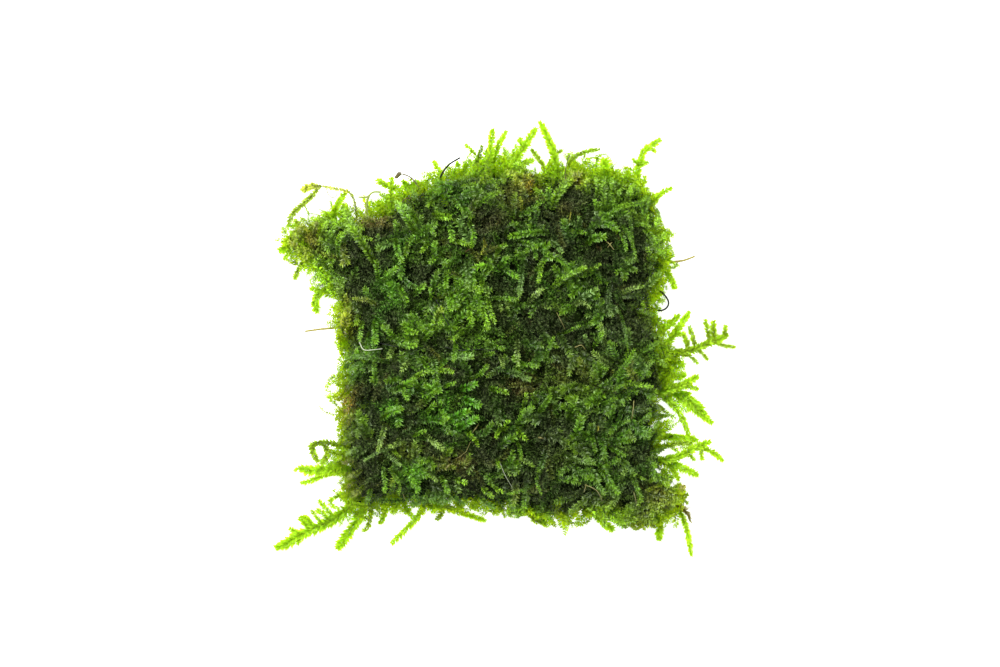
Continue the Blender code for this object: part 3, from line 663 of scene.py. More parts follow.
def swirl(points):
    """A smoothly changing heading, so that neighbouring shoots lie alike."""
    return np.array([noise.noise_vector(Vector(point) / SWIRL_SIZE) for point in points]) * LEVEL


def rooted(spines):
    """Which of the spines have their foot in the mat."""
    foot = spines[:, 0]
    return on_map(mat_heights, foot) > foot[:, 2] + ROOT_DEPTH


def shoot_tints(random, count, picks, shares):
    """Each shoot's own colour, before its place on the mat has its say."""
    tints = np.array(picks)[random.choice(len(picks), count, p=shares)]
    return tints * random.uniform(*TINT_SPREAD, (count, 1))


def shoots_on_top(random, count, rises, lengths, climb_limits, outward, thinned=0.0):
    """Shoots whose tips lie all over the mat's top, fewer in hollows: their spines and ups."""
    tips, normals = surface_points(random, count, TOP_LEAN, 1.0)
    ups = unit(normals + UP)
    tips = tips + ups * random.uniform(*rises, count)[:, None]
    rim = rim_share(tips)[:, None]
    pull = swirl(tips) * SWIRL_PULL + unit(tips * LEVEL) * outward * (MIDDLE_PULL + RIM_PULL * rim)
    headings = headings_on(random, ups, pull)
    runs, bends = random.uniform(*lengths, count), random.normal(0, BEND_SPREAD, count)
    climbs = np.radians(random.uniform(*climb_limits, (count, 2)))
    spines = spines_to(tips, headings, ups, runs, climbs, bends)
    turned = spines_to(tips, -headings, ups, runs, climbs, bends)
    spines = np.where(rooted(spines)[:, None, None], spines, turned)
    hollow = np.maximum(hollow_share(spines[:, -1]), hollow_share(spines[:, SHOOT_POINTS // 2]))
    kept = rooted(spines) & (random.uniform(0, 1, count) > thinned * hollow)
    order = np.argsort(-spines[kept][:, -1, 1])
    return spines[kept][order], ups[kept][order]


def grow_spread(name, pieces, seed, material, spines, ups, widths, own, **way):
    """Leafy shoots spread over the mat, each with a tint of its own, in so many pieces."""
    for number, some in enumerate(np.array_split(np.arange(len(spines)), pieces), 1):
        growth, tints = Growth(seed + number), own[some]
        growth.shoots(spines[some], ups[some], widths[some],
                      lambda points, shoot, share: grown_tints(points, tints[shoot]), **way)
        growth.piece(f"{name}_{number}", material, "mat_moss", "moss_mat")


OLD_SHOOTS, LITTER_SHOOTS = 1900, 2000
old_glow = colour(80, 120, 16)
old_leaves = leaf_finish("old_leaves", old_glow, 0.15, young=0.0, gloss=0.30, glint=(0.85, 1.0, 0.5))
litter_leaves = leaf_finish("litter_leaves", old_glow, 0.1, young=0.0, gloss=0.1)
random = np.random.default_rng(21)
spines, ups = shoots_on_top(
    random, OLD_SHOOTS, rises=(-0.0016, 0.0006), lengths=(0.0050, 0.0090),
    climb_limits=((-5, -25), (40, 10)), outward=0.5)
own = shoot_tints(random, len(spines), (DEEP, GREEN, DARK, OLIVE), (0.35, 0.25, 0.3, 0.1)) * 0.6
widths = random.uniform(0.0013, 0.0019, len(spines))
ups = tilted(random, ups, 0.4)
bits, bit_ups = shoots_on_top(
    random, LITTER_SHOOTS, rises=(-0.0024, -0.0008), lengths=(0.0032, 0.0054),
    climb_limits=((-8, -8), (8, 8)), outward=0.2)
# the litter is dark in itself, and darker still as painted shade deep among the shoots
bit_own = shoot_tints(random, len(bits), (DEEP, DARK, BROWN, GREEN), (0.35, 0.35, 0.1, 0.2)) * 0.42
bit_ups = tilted(random, bit_ups, 0.5)
litter = Growth(29)
litter.leaves(bits, bit_ups, random.uniform(0.0014, 0.0020, len(bits)),
              lambda feet, shoot, share: grown_tints(feet, bit_own[shoot]), spacing=0.0005)
litter.piece("litter", litter_leaves, "mat_moss", "moss_mat")
grow_spread("old_growth", 2, 20, old_leaves, spines, ups, widths, own)

# ----------------------------------------------------------------------
# The top growth: this season's shoots, some of them branched, that stand out of the old growth at all
# angles and end in blunt bright tips, lime with young growth and painted brighter as light, with their feet
# painted darker as shade. Their colour follows how wet and how dry each place of the mat is, with painted
# shade in the hollows and deep down and a painted glow at the rim.

INWARD = (0.97, 0.97, 1)  # a little in from the edge of the mat
FORKS_FROM, FORKS_OVER = 0.25, 0.55  # where along a shoot its forks begin, and how much of it they take
FORK_ANGLES, FORK_CLIMBS = (38, 62), ((0, -20), (25, 5))
FORK_BEND, FORK_BREADTH = 0.4, 0.88


def side_branches(random, spines, ups, widths, counts, reach):
    """Branches that fork off spines at alternate sides: their spines, ups, widths and parents."""
    aheads, besides, _ = frames_along(spines, ups)
    parent = np.repeat(np.arange(len(spines)), counts)
    order = np.concatenate([np.arange(count) for count in counts])
    share = FORKS_FROM + FORKS_OVER * (order + random.uniform(0, 1, len(parent))) / counts[parent]
    starts = at_share(spines, parent, share)
    ahead, beside = at_share(aheads, parent, share), at_share(besides, parent, share)
    side = np.where((order + parent) % 2, 1, -1)
    angle = np.radians(random.uniform(*FORK_ANGLES, len(parent)))[:, None]
    headings = unit(np.cos(angle) * ahead + side[:, None] * np.sin(angle) * beside)
    lengths = run_lengths(spines)[parent] * random.uniform(*reach, len(parent)) * (1.15 - 0.6 * share)
    climbs = np.radians(random.uniform(*FORK_CLIMBS, (len(parent), 2)))
    made = spines_to(starts, headings, ups[parent], lengths, climbs, -side * FORK_BEND)
    made = made + (starts - made[:, 0])[:, None]
    kept = on_map(mat_heights, made[:, -1] * INWARD) > 0
    return made[kept], ups[parent][kept], widths[parent][kept] * FORK_BREADTH, parent[kept]


TOP_SHOOTS = 850
top_leaves = leaf_finish(
    "top_leaves", through=colour(150, 196, 20), share=0.25, gloss=0.75, glint=(0.85, 1.0, 0.7))
random = np.random.default_rng(11)
spines, ups = shoots_on_top(
    random, TOP_SHOOTS, rises=(-0.0006, 0.0024), lengths=(0.0050, 0.0095),
    climb_limits=((20, -20), (55, 15)), outward=1.0, thinned=0.86)
widths = random.uniform(0.0017, 0.0024, len(spines))
ups = tilted(random, ups, 0.18)
own = shoot_tints(random, len(spines), (GREEN, FRESH, DEEP, GREY_GREEN, OLIVE), (0.4, 0.2, 0.2, 0.14, 0.06))
forks = random.choice(3, len(spines), p=(0.6, 0.25, 0.15))
*branches, parents = side_branches(random, spines, ups, widths, forks, (0.35, 0.6))
stems_and_branches = zip((spines, ups, widths, own), (*branches, own[parents]))
spines, ups, widths, own = (np.concatenate(both) for both in stems_and_branches)
order = np.argsort(-spines[:, -1, 1])
# painted shade and light: the leaves are darker at each shoot's foot and brighter towards its tip
grow_spread("top_growth", 3, 30, top_leaves, spines[order], ups[order], widths[order], own[order],
            light=(0.55, 0.6), ranks=FULL_RANKS)

# ----------------------------------------------------------------------
# The leading shoots: the longest and freshest ones, which lie on top of the rest, and a few high ones
# that arch over them. Each is painted dark at its foot, as the shade where it comes up between the others,
# and ends in a blunt tip painted bright, partly as young growth and partly as light.

CURVE_STEPS, SPINE_POINTS = 12, 25
MM = 0.001
SCALE_HEIGHT, VIEW_DISTANCE = 0.007, 0.6653  # the photograph's scale holds at this height


def place(column, row, height=0.0):
    """Where a point seen at a column and row is, for its height in millimetres: low ones look smaller."""
    spread = PIXEL * (1 - (height * MM - SCALE_HEIGHT) / VIEW_DISTANCE)
    return Vector(((column - ORIGIN_COLUMN) * spread, (ORIGIN_ROW - row) * spread, height * MM))


def curve_through(points, count=SPINE_POINTS):
    """count points at even spacing on a smooth curve through the given ones."""
    points = np.array(points, float)
    padded = np.vstack([2 * points[0] - points[1], points, 2 * points[-1] - points[-2]])
    fine = []
    for a, b, c, d in zip(padded, padded[1:], padded[2:], padded[3:]):
        for t in np.linspace(0, 1, CURVE_STEPS, endpoint=False):
            fine.append(0.5 * (2 * b + (c - a) * t + (2 * a - 5 * b + 4 * c - d) * t**2
                               + (3 * b - a - 3 * c + d) * t**3))
    fine = np.array([*fine, points[-1]])
    run = np.concatenate([[0], np.cumsum(np.linalg.norm(np.diff(fine, axis=0), axis=1))])
    wanted = np.linspace(0, run[-1], count)
    return np.column_stack([np.interp(wanted, run, fine[:, axis]) for axis in range(3)])


def laid_on_mat(routes, lifts, lowest):
    """Spines through the routes, in columns and rows, that rise over the mat by lifts, foot to tip."""
    spines = []
    for route in routes:
        flat = [place(*point, SCALE_HEIGHT / MM) for point in route]
        for point, lift in zip(flat, np.interp(np.linspace(0, 1, len(flat)), LIFT_STOPS, lifts)):
            point.z = max(float(on_map(mat_heights, np.array(point))) + lift, lowest)
        spines.append(curve_through(flat))
    return np.array(spines)


LAID_BREADTH = 1.15  # how far the points of the leaves reach, as a share of the width that shows
LAID_TINT_SPREAD, RIM_GLOW = (0.85, 1.15), 0.55
TIP_LIGHT, TIP_START = 1.1, 0.7  # how bright the tip of a shoot is, and where along it that begins
LIFT_STOPS = (0, 0.35, 1)  # where along a route its three lifts are


def grow_laid(name, material, slot, seed, shoots, lifts, lowest, foot=0.45, strength=0.0):
    """One piece of leafy shoots, painted foot as bright at the foot as shade and brighter towards the tip
    as light. strength is the patches' say.
    """
    growth = Growth(seed)
    spines = laid_on_mat([route for _, _, *route in shoots], lifts, lowest)
    widths = np.array([width for width, _, *_ in shoots]) * PIXEL * LAID_BREADTH
    tints = np.array([tint for _, tint, *_ in shoots])
    tints = tints * growth.random.uniform(*LAID_TINT_SPREAD, (len(tints), 1))

    def tint_at(points, shoot, share):
        # painted glow: shoots over a thin rim drawn to lime, as the light through them
        rim = RIM_GLOW * (thinness(points) * rim_share(points))[:, None]
        # painted shade and light: dark at the foot, in the shade of the others, and bright at the tip
        painted_shade_and_light = (foot + (TIP_LIGHT - foot) * np.clip(share / TIP_START, 0, 1))[:, None]
        return patched(points, between(tints[shoot], LIME, rim), strength) * painted_shade_and_light

    ups = tilted(growth.random, np.tile(UP, (len(spines), 1)), 0.2)
    growth.shoots(spines, ups, widths, tint_at, spacing=0.00040, ranks=FULL_RANKS, jitter=0.8)
    growth.piece(name, material, slot, "moss_mat")


# Each shoot: its width in pixels, its tint, and its route from foot to tip by column and row.
LEADING_SHOOTS = [
    # round the edge, and a few in the middle
    (7, YELLOW, (304, 250), (296, 246), (289, 241)), (6, YELLOW, (306, 236), (302, 229), (299, 223)),
    (5, BROWN, (314, 236), (317, 226), (317, 218)), (6, FRESH, (466, 333), (470, 326), (474, 319)),
    (6, FRESH, (424, 341), (429, 336), (434, 330)), (5, FRESH, (482, 356), (488, 354), (494, 352)),
    (6, DEEP, (645, 412), (655, 414), (666, 416)), (5, PALE, (648, 400), (654, 405), (660, 411)),
    (7, OLIVE, (650, 464), (662, 463), (673, 461)), (6, GREEN, (648, 452), (658, 450), (667, 446)),
    (5, FRESH, (618, 232), (622, 242), (624, 252)), (6, FRESH, (424, 403), (430, 397), (436, 390)),
    (6, FRESH, (426, 413), (431, 408), (436, 402)), (6, FRESH, (326, 240), (332, 235), (337, 227)),
    (6, BRIGHT, (322, 238), (326, 231), (328, 223)), (6, FRESH, (412, 436), (420, 432), (427, 429)),
    (6, BRIGHT, (413, 378), (421, 374), (429, 371)), (6, FRESH, (592, 348), (596, 340), (601, 333)),
    (5, GREY_GREEN, (588, 350), (586, 342), (583, 335)), (6, OLIVE, (357, 384), (350, 386), (344, 391)),
    (5, RUST, (354, 392), (348, 398), (343, 406)), (5, RUST, (356, 398), (351, 405), (348, 413)),
    (5, BROWN, (353, 404), (347, 410), (342, 415)), (6, OLIVE, (360, 412), (352, 418), (346, 426)),
    (6, DEEP, (361, 424), (353, 430), (348, 437)), (5, OLIVE, (358, 436), (350, 441), (343, 443)),
    (6, GREY_GREEN, (364, 446), (356, 449), (348, 454)), (5, BROWN, (358, 458), (350, 461), (343, 462)),
    (6, OLIVE, (364, 468), (356, 473), (348, 477)), (5, YELLOW, (358, 480), (351, 484), (345, 489)),
    (6, OLIVE, (366, 484), (360, 490), (352, 496)), (6, GREEN, (372, 486), (371, 493), (368, 501)),
    (6, FRESH, (356, 362), (350, 364), (344, 369)), (6, GREEN, (362, 366), (357, 373), (350, 379)),
    (6, BRIGHT, (615, 200), (612, 192), (611, 183)), (7, BRIGHT, (625, 206), (628, 196), (633, 186)),
    (7, BRIGHT, (641, 212), (645, 204), (648, 195)), (6, LIME, (652, 226), (657, 218), (658, 209)),
    (7, BRIGHT, (650, 236), (655, 228), (657, 219)), (6, LIME, (655, 248), (661, 242), (663, 234)),
    (6, LIME, (660, 262), (666, 255), (667, 246)), (6, BRIGHT, (588, 196), (586, 188), (586, 180)),
    (6, BRIGHT, (595, 200), (597, 190), (595, 180)), (6, GREEN, (430, 494), (436, 499), (442, 503)),
    (6, GREEN, (450, 492), (458, 498), (466, 503)), (6, DEEP, (405, 494), (411, 499), (418, 503)),
    (6, GREEN, (480, 496), (487, 502), (495, 506)), (7, BRIGHT, (306, 244), (299, 239), (292, 234)),
    (6, YELLOW, (308, 238), (302, 232), (296, 228)), (6, BRIGHT, (304, 254), (296, 250), (288, 247)),
    # the top left
    (5, FRESH, (341, 262), (340, 250), (342, 240), (349, 232)),
    (4.5, BRIGHT, (357, 241), (366, 239), (374, 241)), (4, BRIGHT, (352, 232), (357, 229), (366, 231)),
    (5, GREY_GREEN, (378, 247), (379, 242), (380, 236)),
    (8, GREY_GREEN, (396, 241), (388, 246), (379, 250)), (7, FRESH, (397, 238), (399, 250), (404, 263)),
    (7, FRESH, (420, 225), (412, 214), (402, 206)), (6, GREEN, (397, 238), (398, 230), (397, 222)),
    (7, GREEN, (419, 208), (416, 200), (414, 192)), (8, BRIGHT, (433, 217), (442, 218), (452, 219)),
    (5, BRIGHT, (430, 244), (426, 249), (422, 254)), (6, FRESH, (382, 284), (390, 277), (399, 268)),
    (5, FRESH, (328, 268), (336, 275), (347, 282)), (5, FRESH, (424, 226), (430, 230), (437, 237)),
    (5, FRESH, (441, 254), (436, 260), (430, 264)),
    # the top
    (4.5, GREY_GREEN, (483, 186), (473, 187), (463, 188)), (5, FRESH, (489, 178), (493, 184), (498, 190)),
    (6, FRESH, (470, 210), (482, 204), (490, 198), (499, 194)),
    (5, FRESH, (452, 200), (457, 206), (463, 213)),
    (6, FRESH, (466, 220), (472, 228), (474, 238), (472, 249)),
    (6, BRIGHT, (450, 243), (460, 243), (469, 246)), (3, YELLOW, (484, 237), (485, 247), (481, 256)),
    (7, FRESH, (549, 233), (535, 234), (520, 236), (508, 239)),
    (4, GREEN, (505, 238), (507, 230), (511, 226), (518, 225)),
    (4, YELLOW, (521, 214), (521, 207), (520, 199)), (4, FRESH, (527, 208), (529, 214), (529, 221)),
    (6, FRESH, (517, 243), (527, 245), (537, 249)), (6, FRESH, (496, 254), (500, 250), (506, 246)),
    (6, GREY_GREEN, (549, 242), (555, 247), (561, 254)), (7, GREEN, (498, 270), (503, 264), (508, 258)),
    (4, FRESH, (482, 257), (487, 260), (493, 263)), (6, YELLOW, (523, 181), (515, 176), (506, 173)),
    (5, YELLOW, (518, 190), (516, 183), (514, 176)),
    # the top right
    (9, BRIGHT, (551, 212), (556, 197), (564, 187), (573, 176)),
    (6, FRESH, (658, 201), (645, 204), (632, 206), (621, 207)),
    (6, FRESH, (598, 223), (607, 218), (614, 211), (621, 207)),
    (4, FRESH, (628, 211), (629, 228), (630, 244), (634, 259)),
    (4, FRESH, (620, 226), (625, 234), (629, 243)),
    (7, FRESH, (641, 228), (649, 237), (656, 247), (663, 257)),
    (5, FRESH, (632, 227), (640, 226), (648, 228)), (5, BRIGHT, (646, 262), (648, 256), (645, 249)),
    (5, FRESH, (596, 213), (595, 208), (593, 202)), (9, GREEN, (584, 246), (593, 240), (603, 238)),
    (5, FRESH, (574, 234), (579, 233), (584, 235)), (5, BRIGHT, (631, 200), (630, 195), (629, 189)),
    (5, BRIGHT, (635, 199), (637, 194), (637, 189)), (4, FRESH, (607, 211), (610, 206), (613, 201)),
    (5, FRESH, (616, 204), (617, 198), (619, 191)),
    (7, BRIGHT, (601, 213), (602, 200), (603, 185), (604, 170)),
    (6, BRIGHT, (612, 196), (611, 186), (611, 176)), (6, GREY_GREEN, (617, 268), (624, 265), (632, 260)),
    # the left
    (6, FRESH, (414, 297), (420, 291), (426, 285)), (5, FRESH, (430, 301), (433, 295), (431, 289)),
    (6, FRESH, (399, 285), (404, 293), (409, 303)), (5, YELLOW, (350, 307), (348, 301), (347, 295)),
    (5, OLIVE, (381, 307), (370, 301), (355, 299)), (10, YELLOW, (344, 334), (346, 324), (349, 314)),
    (5, FRESH, (365, 320), (363, 329), (362, 340)), (7, FRESH, (376, 317), (377, 330), (378, 343)),
    (6, FRESH, (402, 343), (394, 335), (384, 326)),
    (7, FRESH, (388, 336), (398, 340), (407, 345), (417, 345)),
    (6, BRIGHT, (402, 326), (410, 331), (419, 333)), (4.5, BRIGHT, (417, 333), (418, 339), (417, 346)),
    (5, FRESH, (412, 309), (418, 318), (425, 331)), (5, BRIGHT, (429, 331), (433, 327), (434, 321)),
    (5, BRIGHT, (436, 333), (440, 327), (442, 320)), (6, PALE, (397, 344), (393, 351), (390, 358)),
    (6, PALE, (411, 359), (408, 364), (403, 370)), (6, FRESH, (423, 360), (428, 366), (434, 372)),
    (6, BRIGHT, (435, 369), (444, 370), (454, 371)), (5, FRESH, (393, 377), (398, 379), (405, 382)),
    (5, FRESH, (402, 383), (405, 390), (409, 399)), (6, FRESH, (422, 390), (418, 384), (414, 377)),
    (6, GREEN, (392, 362), (378, 359), (362, 356), (346, 358)),
    # the middle
    (6, FRESH, (447, 273), (447, 280), (447, 288)), (7, GREY_GREEN, (467, 261), (469, 274), (468, 288)),
    (6, BRIGHT, (471, 275), (475, 283), (479, 293)), (5, BRIGHT, (483, 279), (482, 286), (481, 294)),
    (5, PALE, (485, 283), (487, 290), (488, 298)), (7, FRESH, (449, 291), (454, 299), (458, 309)),
    (7, BRIGHT, (469, 299), (470, 309), (471, 321)), (7, BRIGHT, (481, 299), (484, 313), (488, 329)),
    (6, BRIGHT, (488, 298), (490, 310), (495, 323)), (4, PALE, (499, 302), (501, 306), (501, 311)),
    (4, PALE, (505, 300), (507, 304), (508, 309)), (5, BRIGHT, (465, 329), (460, 334), (454, 340)),
    (6, FRESH, (457, 339), (456, 349), (454, 360)), (4, FRESH, (475, 337), (480, 337), (485, 339)),
    (5, FRESH, (488, 344), (496, 346), (504, 349)), (5.5, FRESH, (469, 378), (480, 374), (488, 364)),
    (5, PALE, (499, 354), (502, 360), (503, 367)), (6, PALE, (517, 338), (517, 351), (518, 365)),
    (5, FRESH, (516, 361), (526, 364), (537, 366)), (7, GREY_GREEN, (507, 371), (518, 374), (530, 379)),
    (5.5, BRIGHT, (542, 261), (540, 272), (538, 283)),
    (6, GREY_GREEN, (523, 262), (521, 278), (519, 297)), (6, FRESH, (501, 267), (509, 273), (518, 279)),
    (6, PALE, (527, 303), (534, 296), (542, 290)), (4, PALE, (540, 306), (545, 307), (550, 309)),
    (4.5, FRESH, (543, 365), (547, 351), (553, 337)), (5, FRESH, (489, 299), (503, 299), (518, 300)),
    # the right
    (6, BRIGHT, (548, 291), (560, 281), (571, 274), (585, 268)),
    (4, BRIGHT, (587, 272), (593, 269), (599, 265)), (5, PALE, (570, 307), (580, 303), (589, 308)),
    (4, FRESH, (594, 309), (597, 306), (602, 302)), (4, FRESH, (561, 334), (570, 330), (579, 326)),
    (5, PALE, (605, 347), (602, 335), (599, 323)), (3.5, GREEN, (617, 307), (622, 326), (626, 352)),
    (5.5, FRESH, (603, 386), (617, 372), (627, 360), (632, 349)),
    (6, PALE, (613, 367), (602, 361), (591, 351)), (6, BRIGHT, (635, 311), (645, 313), (658, 318)),
    (4, BRIGHT, (642, 311), (641, 307), (641, 302)), (5, PALE, (617, 295), (628, 290), (641, 287)),
    (6, FRESH, (636, 354), (646, 348), (657, 342)), (6, BRIGHT, (652, 358), (658, 361), (664, 366)),
    (5, GREY_GREEN, (635, 383), (642, 373), (650, 361)),
    # the bottom left
    (8, FRESH, (381, 418), (392, 412), (404, 407)), (6, PALE, (387, 423), (384, 435), (380, 449)),
    (6, PALE, (401, 435), (399, 442), (391, 445)), (4, BRIGHT, (395, 449), (398, 452), (402, 455)),
    (7, PALE, (424, 432), (434, 439), (444, 448)), (6, FRESH, (436, 457), (429, 458), (421, 461)),
    (7, FRESH, (408, 463), (411, 472), (414, 480)), (7, FRESH, (418, 473), (419, 481), (418, 490)),
    (5, PALE, (431, 471), (434, 475), (438, 479)), (6, FRESH, (384, 464), (387, 477), (386, 490)),
    (3.5, BRIGHT, (392, 471), (398, 475), (401, 484), (400, 493)),
    (4, GREY_GREEN, (401, 446), (383, 449), (366, 459)),
    (5, GREY_GREEN, (383, 448), (392, 455), (402, 463)), (5, FRESH, (439, 404), (443, 410), (448, 416)),
    (4, GREY_GREEN, (449, 490), (440, 494), (430, 500)), (5, BRIGHT, (429, 488), (426, 497), (424, 508)),
    (5, FRESH, (391, 493), (394, 487), (395, 480)),
    # the bottom
    (8, VIVID, (459, 389), (468, 386), (477, 383)), (8, VIVID, (462, 397), (471, 401), (481, 405)),
    (9, VIVID, (446, 421), (458, 415), (470, 410)), (8, VIVID, (454, 429), (466, 423), (478, 416)),
    (5, BRIGHT, (439, 411), (444, 414), (449, 418)), (6, FRESH, (488, 387), (497, 389), (508, 392)),
    (6, BRIGHT, (502, 430), (506, 425), (508, 419)), (5, BRIGHT, (501, 426), (498, 431), (496, 436)),
    (6, BRIGHT, (515, 427), (520, 432), (526, 438)), (5, FRESH, (516, 437), (519, 446), (521, 457)),
    (5, PALE, (517, 455), (524, 459), (533, 464)), (4, BRIGHT, (497, 457), (498, 461), (500, 466)),
    (5, PALE, (504, 464), (507, 468), (510, 473)), (5, PALE, (511, 464), (513, 468), (515, 473)),
    (5, GREY_GREEN, (520, 423), (525, 415), (531, 406)), (5, BRIGHT, (523, 405), (525, 399), (526, 392)),
    (3.5, FRESH, (537, 482), (522, 488), (507, 492)), (4, FRESH, (541, 469), (536, 478), (541, 492)),
    (6, BRIGHT, (456, 477), (461, 479), (467, 481)), (6, BRIGHT, (482, 485), (487, 490), (493, 495)),
    (4, OLIVE, (451, 459), (459, 460), (467, 462)), (6, BRIGHT, (445, 455), (449, 451), (452, 447)),
    (7, FRESH, (441, 473), (445, 481), (449, 490)), (4, BRIGHT, (476, 437), (477, 441), (479, 445)),
    (5, BRIGHT, (468, 430), (471, 434), (475, 438)),
    # the bottom right
    (6, FRESH, (536, 414), (543, 405), (550, 394)), (5, BRIGHT, (494, 485), (498, 488), (503, 490)),
    (5, FRESH, (444, 386), (450, 384), (456, 382)), (6, BRIGHT, (617, 379), (632, 383), (650, 386)),
    (4, FRESH, (605, 392), (612, 388), (621, 384)), (5, FRESH, (597, 405), (605, 401), (615, 397)),
    (5, GREEN, (606, 426), (610, 415), (612, 403)), (9, FRESH, (602, 399), (593, 400), (586, 404)),
    (9, FRESH, (571, 441), (576, 429), (580, 415)), (5, FRESH, (589, 431), (592, 440), (594, 450)),
    (4, FRESH, (600, 437), (602, 442), (604, 449)), (5, FRESH, (608, 446), (615, 450), (623, 454)),
    (4.5, FRESH, (602, 462), (610, 461), (618, 457)), (6, GREY_GREEN, (561, 451), (576, 458), (593, 461)),
    (7, GREY_GREEN, (585, 462), (591, 470), (597, 479)),
    (6, GREY_GREEN, (590, 474), (596, 482), (603, 492)),
    (7, FRESH, (596, 461), (604, 473), (610, 482), (617, 491)),
    (6, GREY_GREEN, (619, 457), (625, 463), (633, 473)), (5, PALE, (618, 481), (620, 474), (624, 467)),
    (5.5, FRESH, (629, 469), (634, 483), (640, 499)), (4, BRIGHT, (634, 473), (638, 475), (642, 477)),
    (6, FRESH, (634, 426), (641, 420), (649, 413)), (5, PALE, (625, 430), (629, 434), (633, 439)),
    (5, BRIGHT, (647, 437), (652, 428), (660, 418)), (5, BRIGHT, (647, 480), (650, 478), (654, 477)),
    (5, GREEN, (609, 428), (617, 423), (627, 419)),
]
HIGH_SHOOTS = [
    (9, BRIGHT, (376, 264), (370, 253), (361, 239), (352, 225), (347, 214), (343, 204)),
    (8, FRESH, (419, 237), (412, 226), (405, 215), (398, 203)),
    (6, BRIGHT, (339, 247), (341, 240), (345, 234)),
]
grow_laid("leading_shoots", top_leaves, "mat_moss", 35, LEADING_SHOOTS,
          lifts=(-0.0004, 0.0023, 0.0028), lowest=0.004, strength=0.6)
grow_laid("high_shoots", top_leaves, "mat_moss", 36, HIGH_SHOOTS,
          lifts=(0.0004, 0.0044, 0.0050), lowest=0.004)

# ----------------------------------------------------------------------
# The sides: shoots that grow out of the mat's edge all round it. Their tips stand clear of it by a few
# millimetres at most, and where the mat is thin the light comes through them.

SIDE_SHOOTS = 1150
SIDE_TIPS_LOWEST, SIDE_LOWEST = 0.0008, 0.0007
CLEARANCES, FAR_CLEARANCE = (-0.0004, 0.0026), 0.0025  # how far out the tips are, and a few more so
# Stretches where few shoots pass the edge: column, row, half width, half height, how far they pass it.
TRIMMED = [
    (470, 512, 50, 12, 0.001), (655, 235, 26, 45, 0.0014), (655, 315, 20, 14, 0.0012),
    (668, 404, 13, 13, -0.0026), (672, 432, 12, 14, -0.0018), (670, 456, 12, 9, -0.0016),
    (674, 478, 10, 9, -0.0016), (673, 388, 8, 6, -0.001), (614, 521, 24, 8, -0.0024),
    (335, 345, 14, 22, 0.0012), (335, 430, 12, 16, 0.001), (640, 530, 30, 10, 0.0004),
    (532, 168, 11, 13, -0.0016), (526, 514, 18, 12, 0.0006), (588, 522, 8, 8, 0.0),
    (336, 481, 10, 12, 0.0014), (597, 528, 9, 8, -0.0016), (664, 319, 6, 6, -0.0004),
    (332, 394, 8, 8, 0.0), (658, 215, 12, 14, 0.0),
]
side_leaves = leaf_finish("side_leaves", through=colour(206, 236, 24), share=0.55, uneven=0.8)
random = np.random.default_rng(12)
tips, normals = surface_points(random, SIDE_SHOOTS, -0.85, 0.5)
order = np.argsort(np.arctan2(tips[:, 1], tips[:, 0]))
tips, normals = tips[order], normals[order]
clear = random.uniform(*CLEARANCES, SIDE_SHOOTS) + FAR_CLEARANCE * random.uniform(0, 1, SIDE_SHOOTS) ** 4
columns, rows = on_photo(tips)
for *stretch, most in TRIMMED:
    clear -= nearness(columns, rows, stretch, power=4) * np.maximum(clear - most, 0)
tips = tips + normals * clear[:, None]
tips[:, 2] = np.maximum(tips[:, 2], SIDE_TIPS_LOWEST)
along_edge = headings_on(random, normals, 0.3 * UP)
headings = unit(along_edge + normals * random.uniform(0.6, 2.2, SIDE_SHOOTS)[:, None])
side_ups = unit(np.cross(headings, np.cross(normals * 0.3 + UP, headings)))
climbs = np.radians(random.uniform(-25, 25, (SIDE_SHOOTS, 2)))
spines = spines_to(tips, headings, side_ups, random.uniform(0.0055, 0.0100, SIDE_SHOOTS), climbs,
                   random.normal(0, 0.5, SIDE_SHOOTS))
spines[:, :, 2] = np.maximum(spines[:, :, 2], SIDE_LOWEST)
widths = random.uniform(0.0016, 0.0023, SIDE_SHOOTS)
own = shoot_tints(random, SIDE_SHOOTS, (FRESH, GREEN, OLIVE, LIME, DEEP), (0.3, 0.25, 0.15, 0.15, 0.15))
ups = tilted(random, side_ups, 0.35)
grow_spread("side_growth", 2, 40, side_leaves, spines, ups, widths, own)

# ----------------------------------------------------------------------
# The rim shoots: young ones that grow straight out of the mat's edge and lie over the ground beside it,
# shorter than the fronds. Light comes through them, and where the rim is thin they are also painted lime as
# its glow, so that they are the brightest part of the clump.

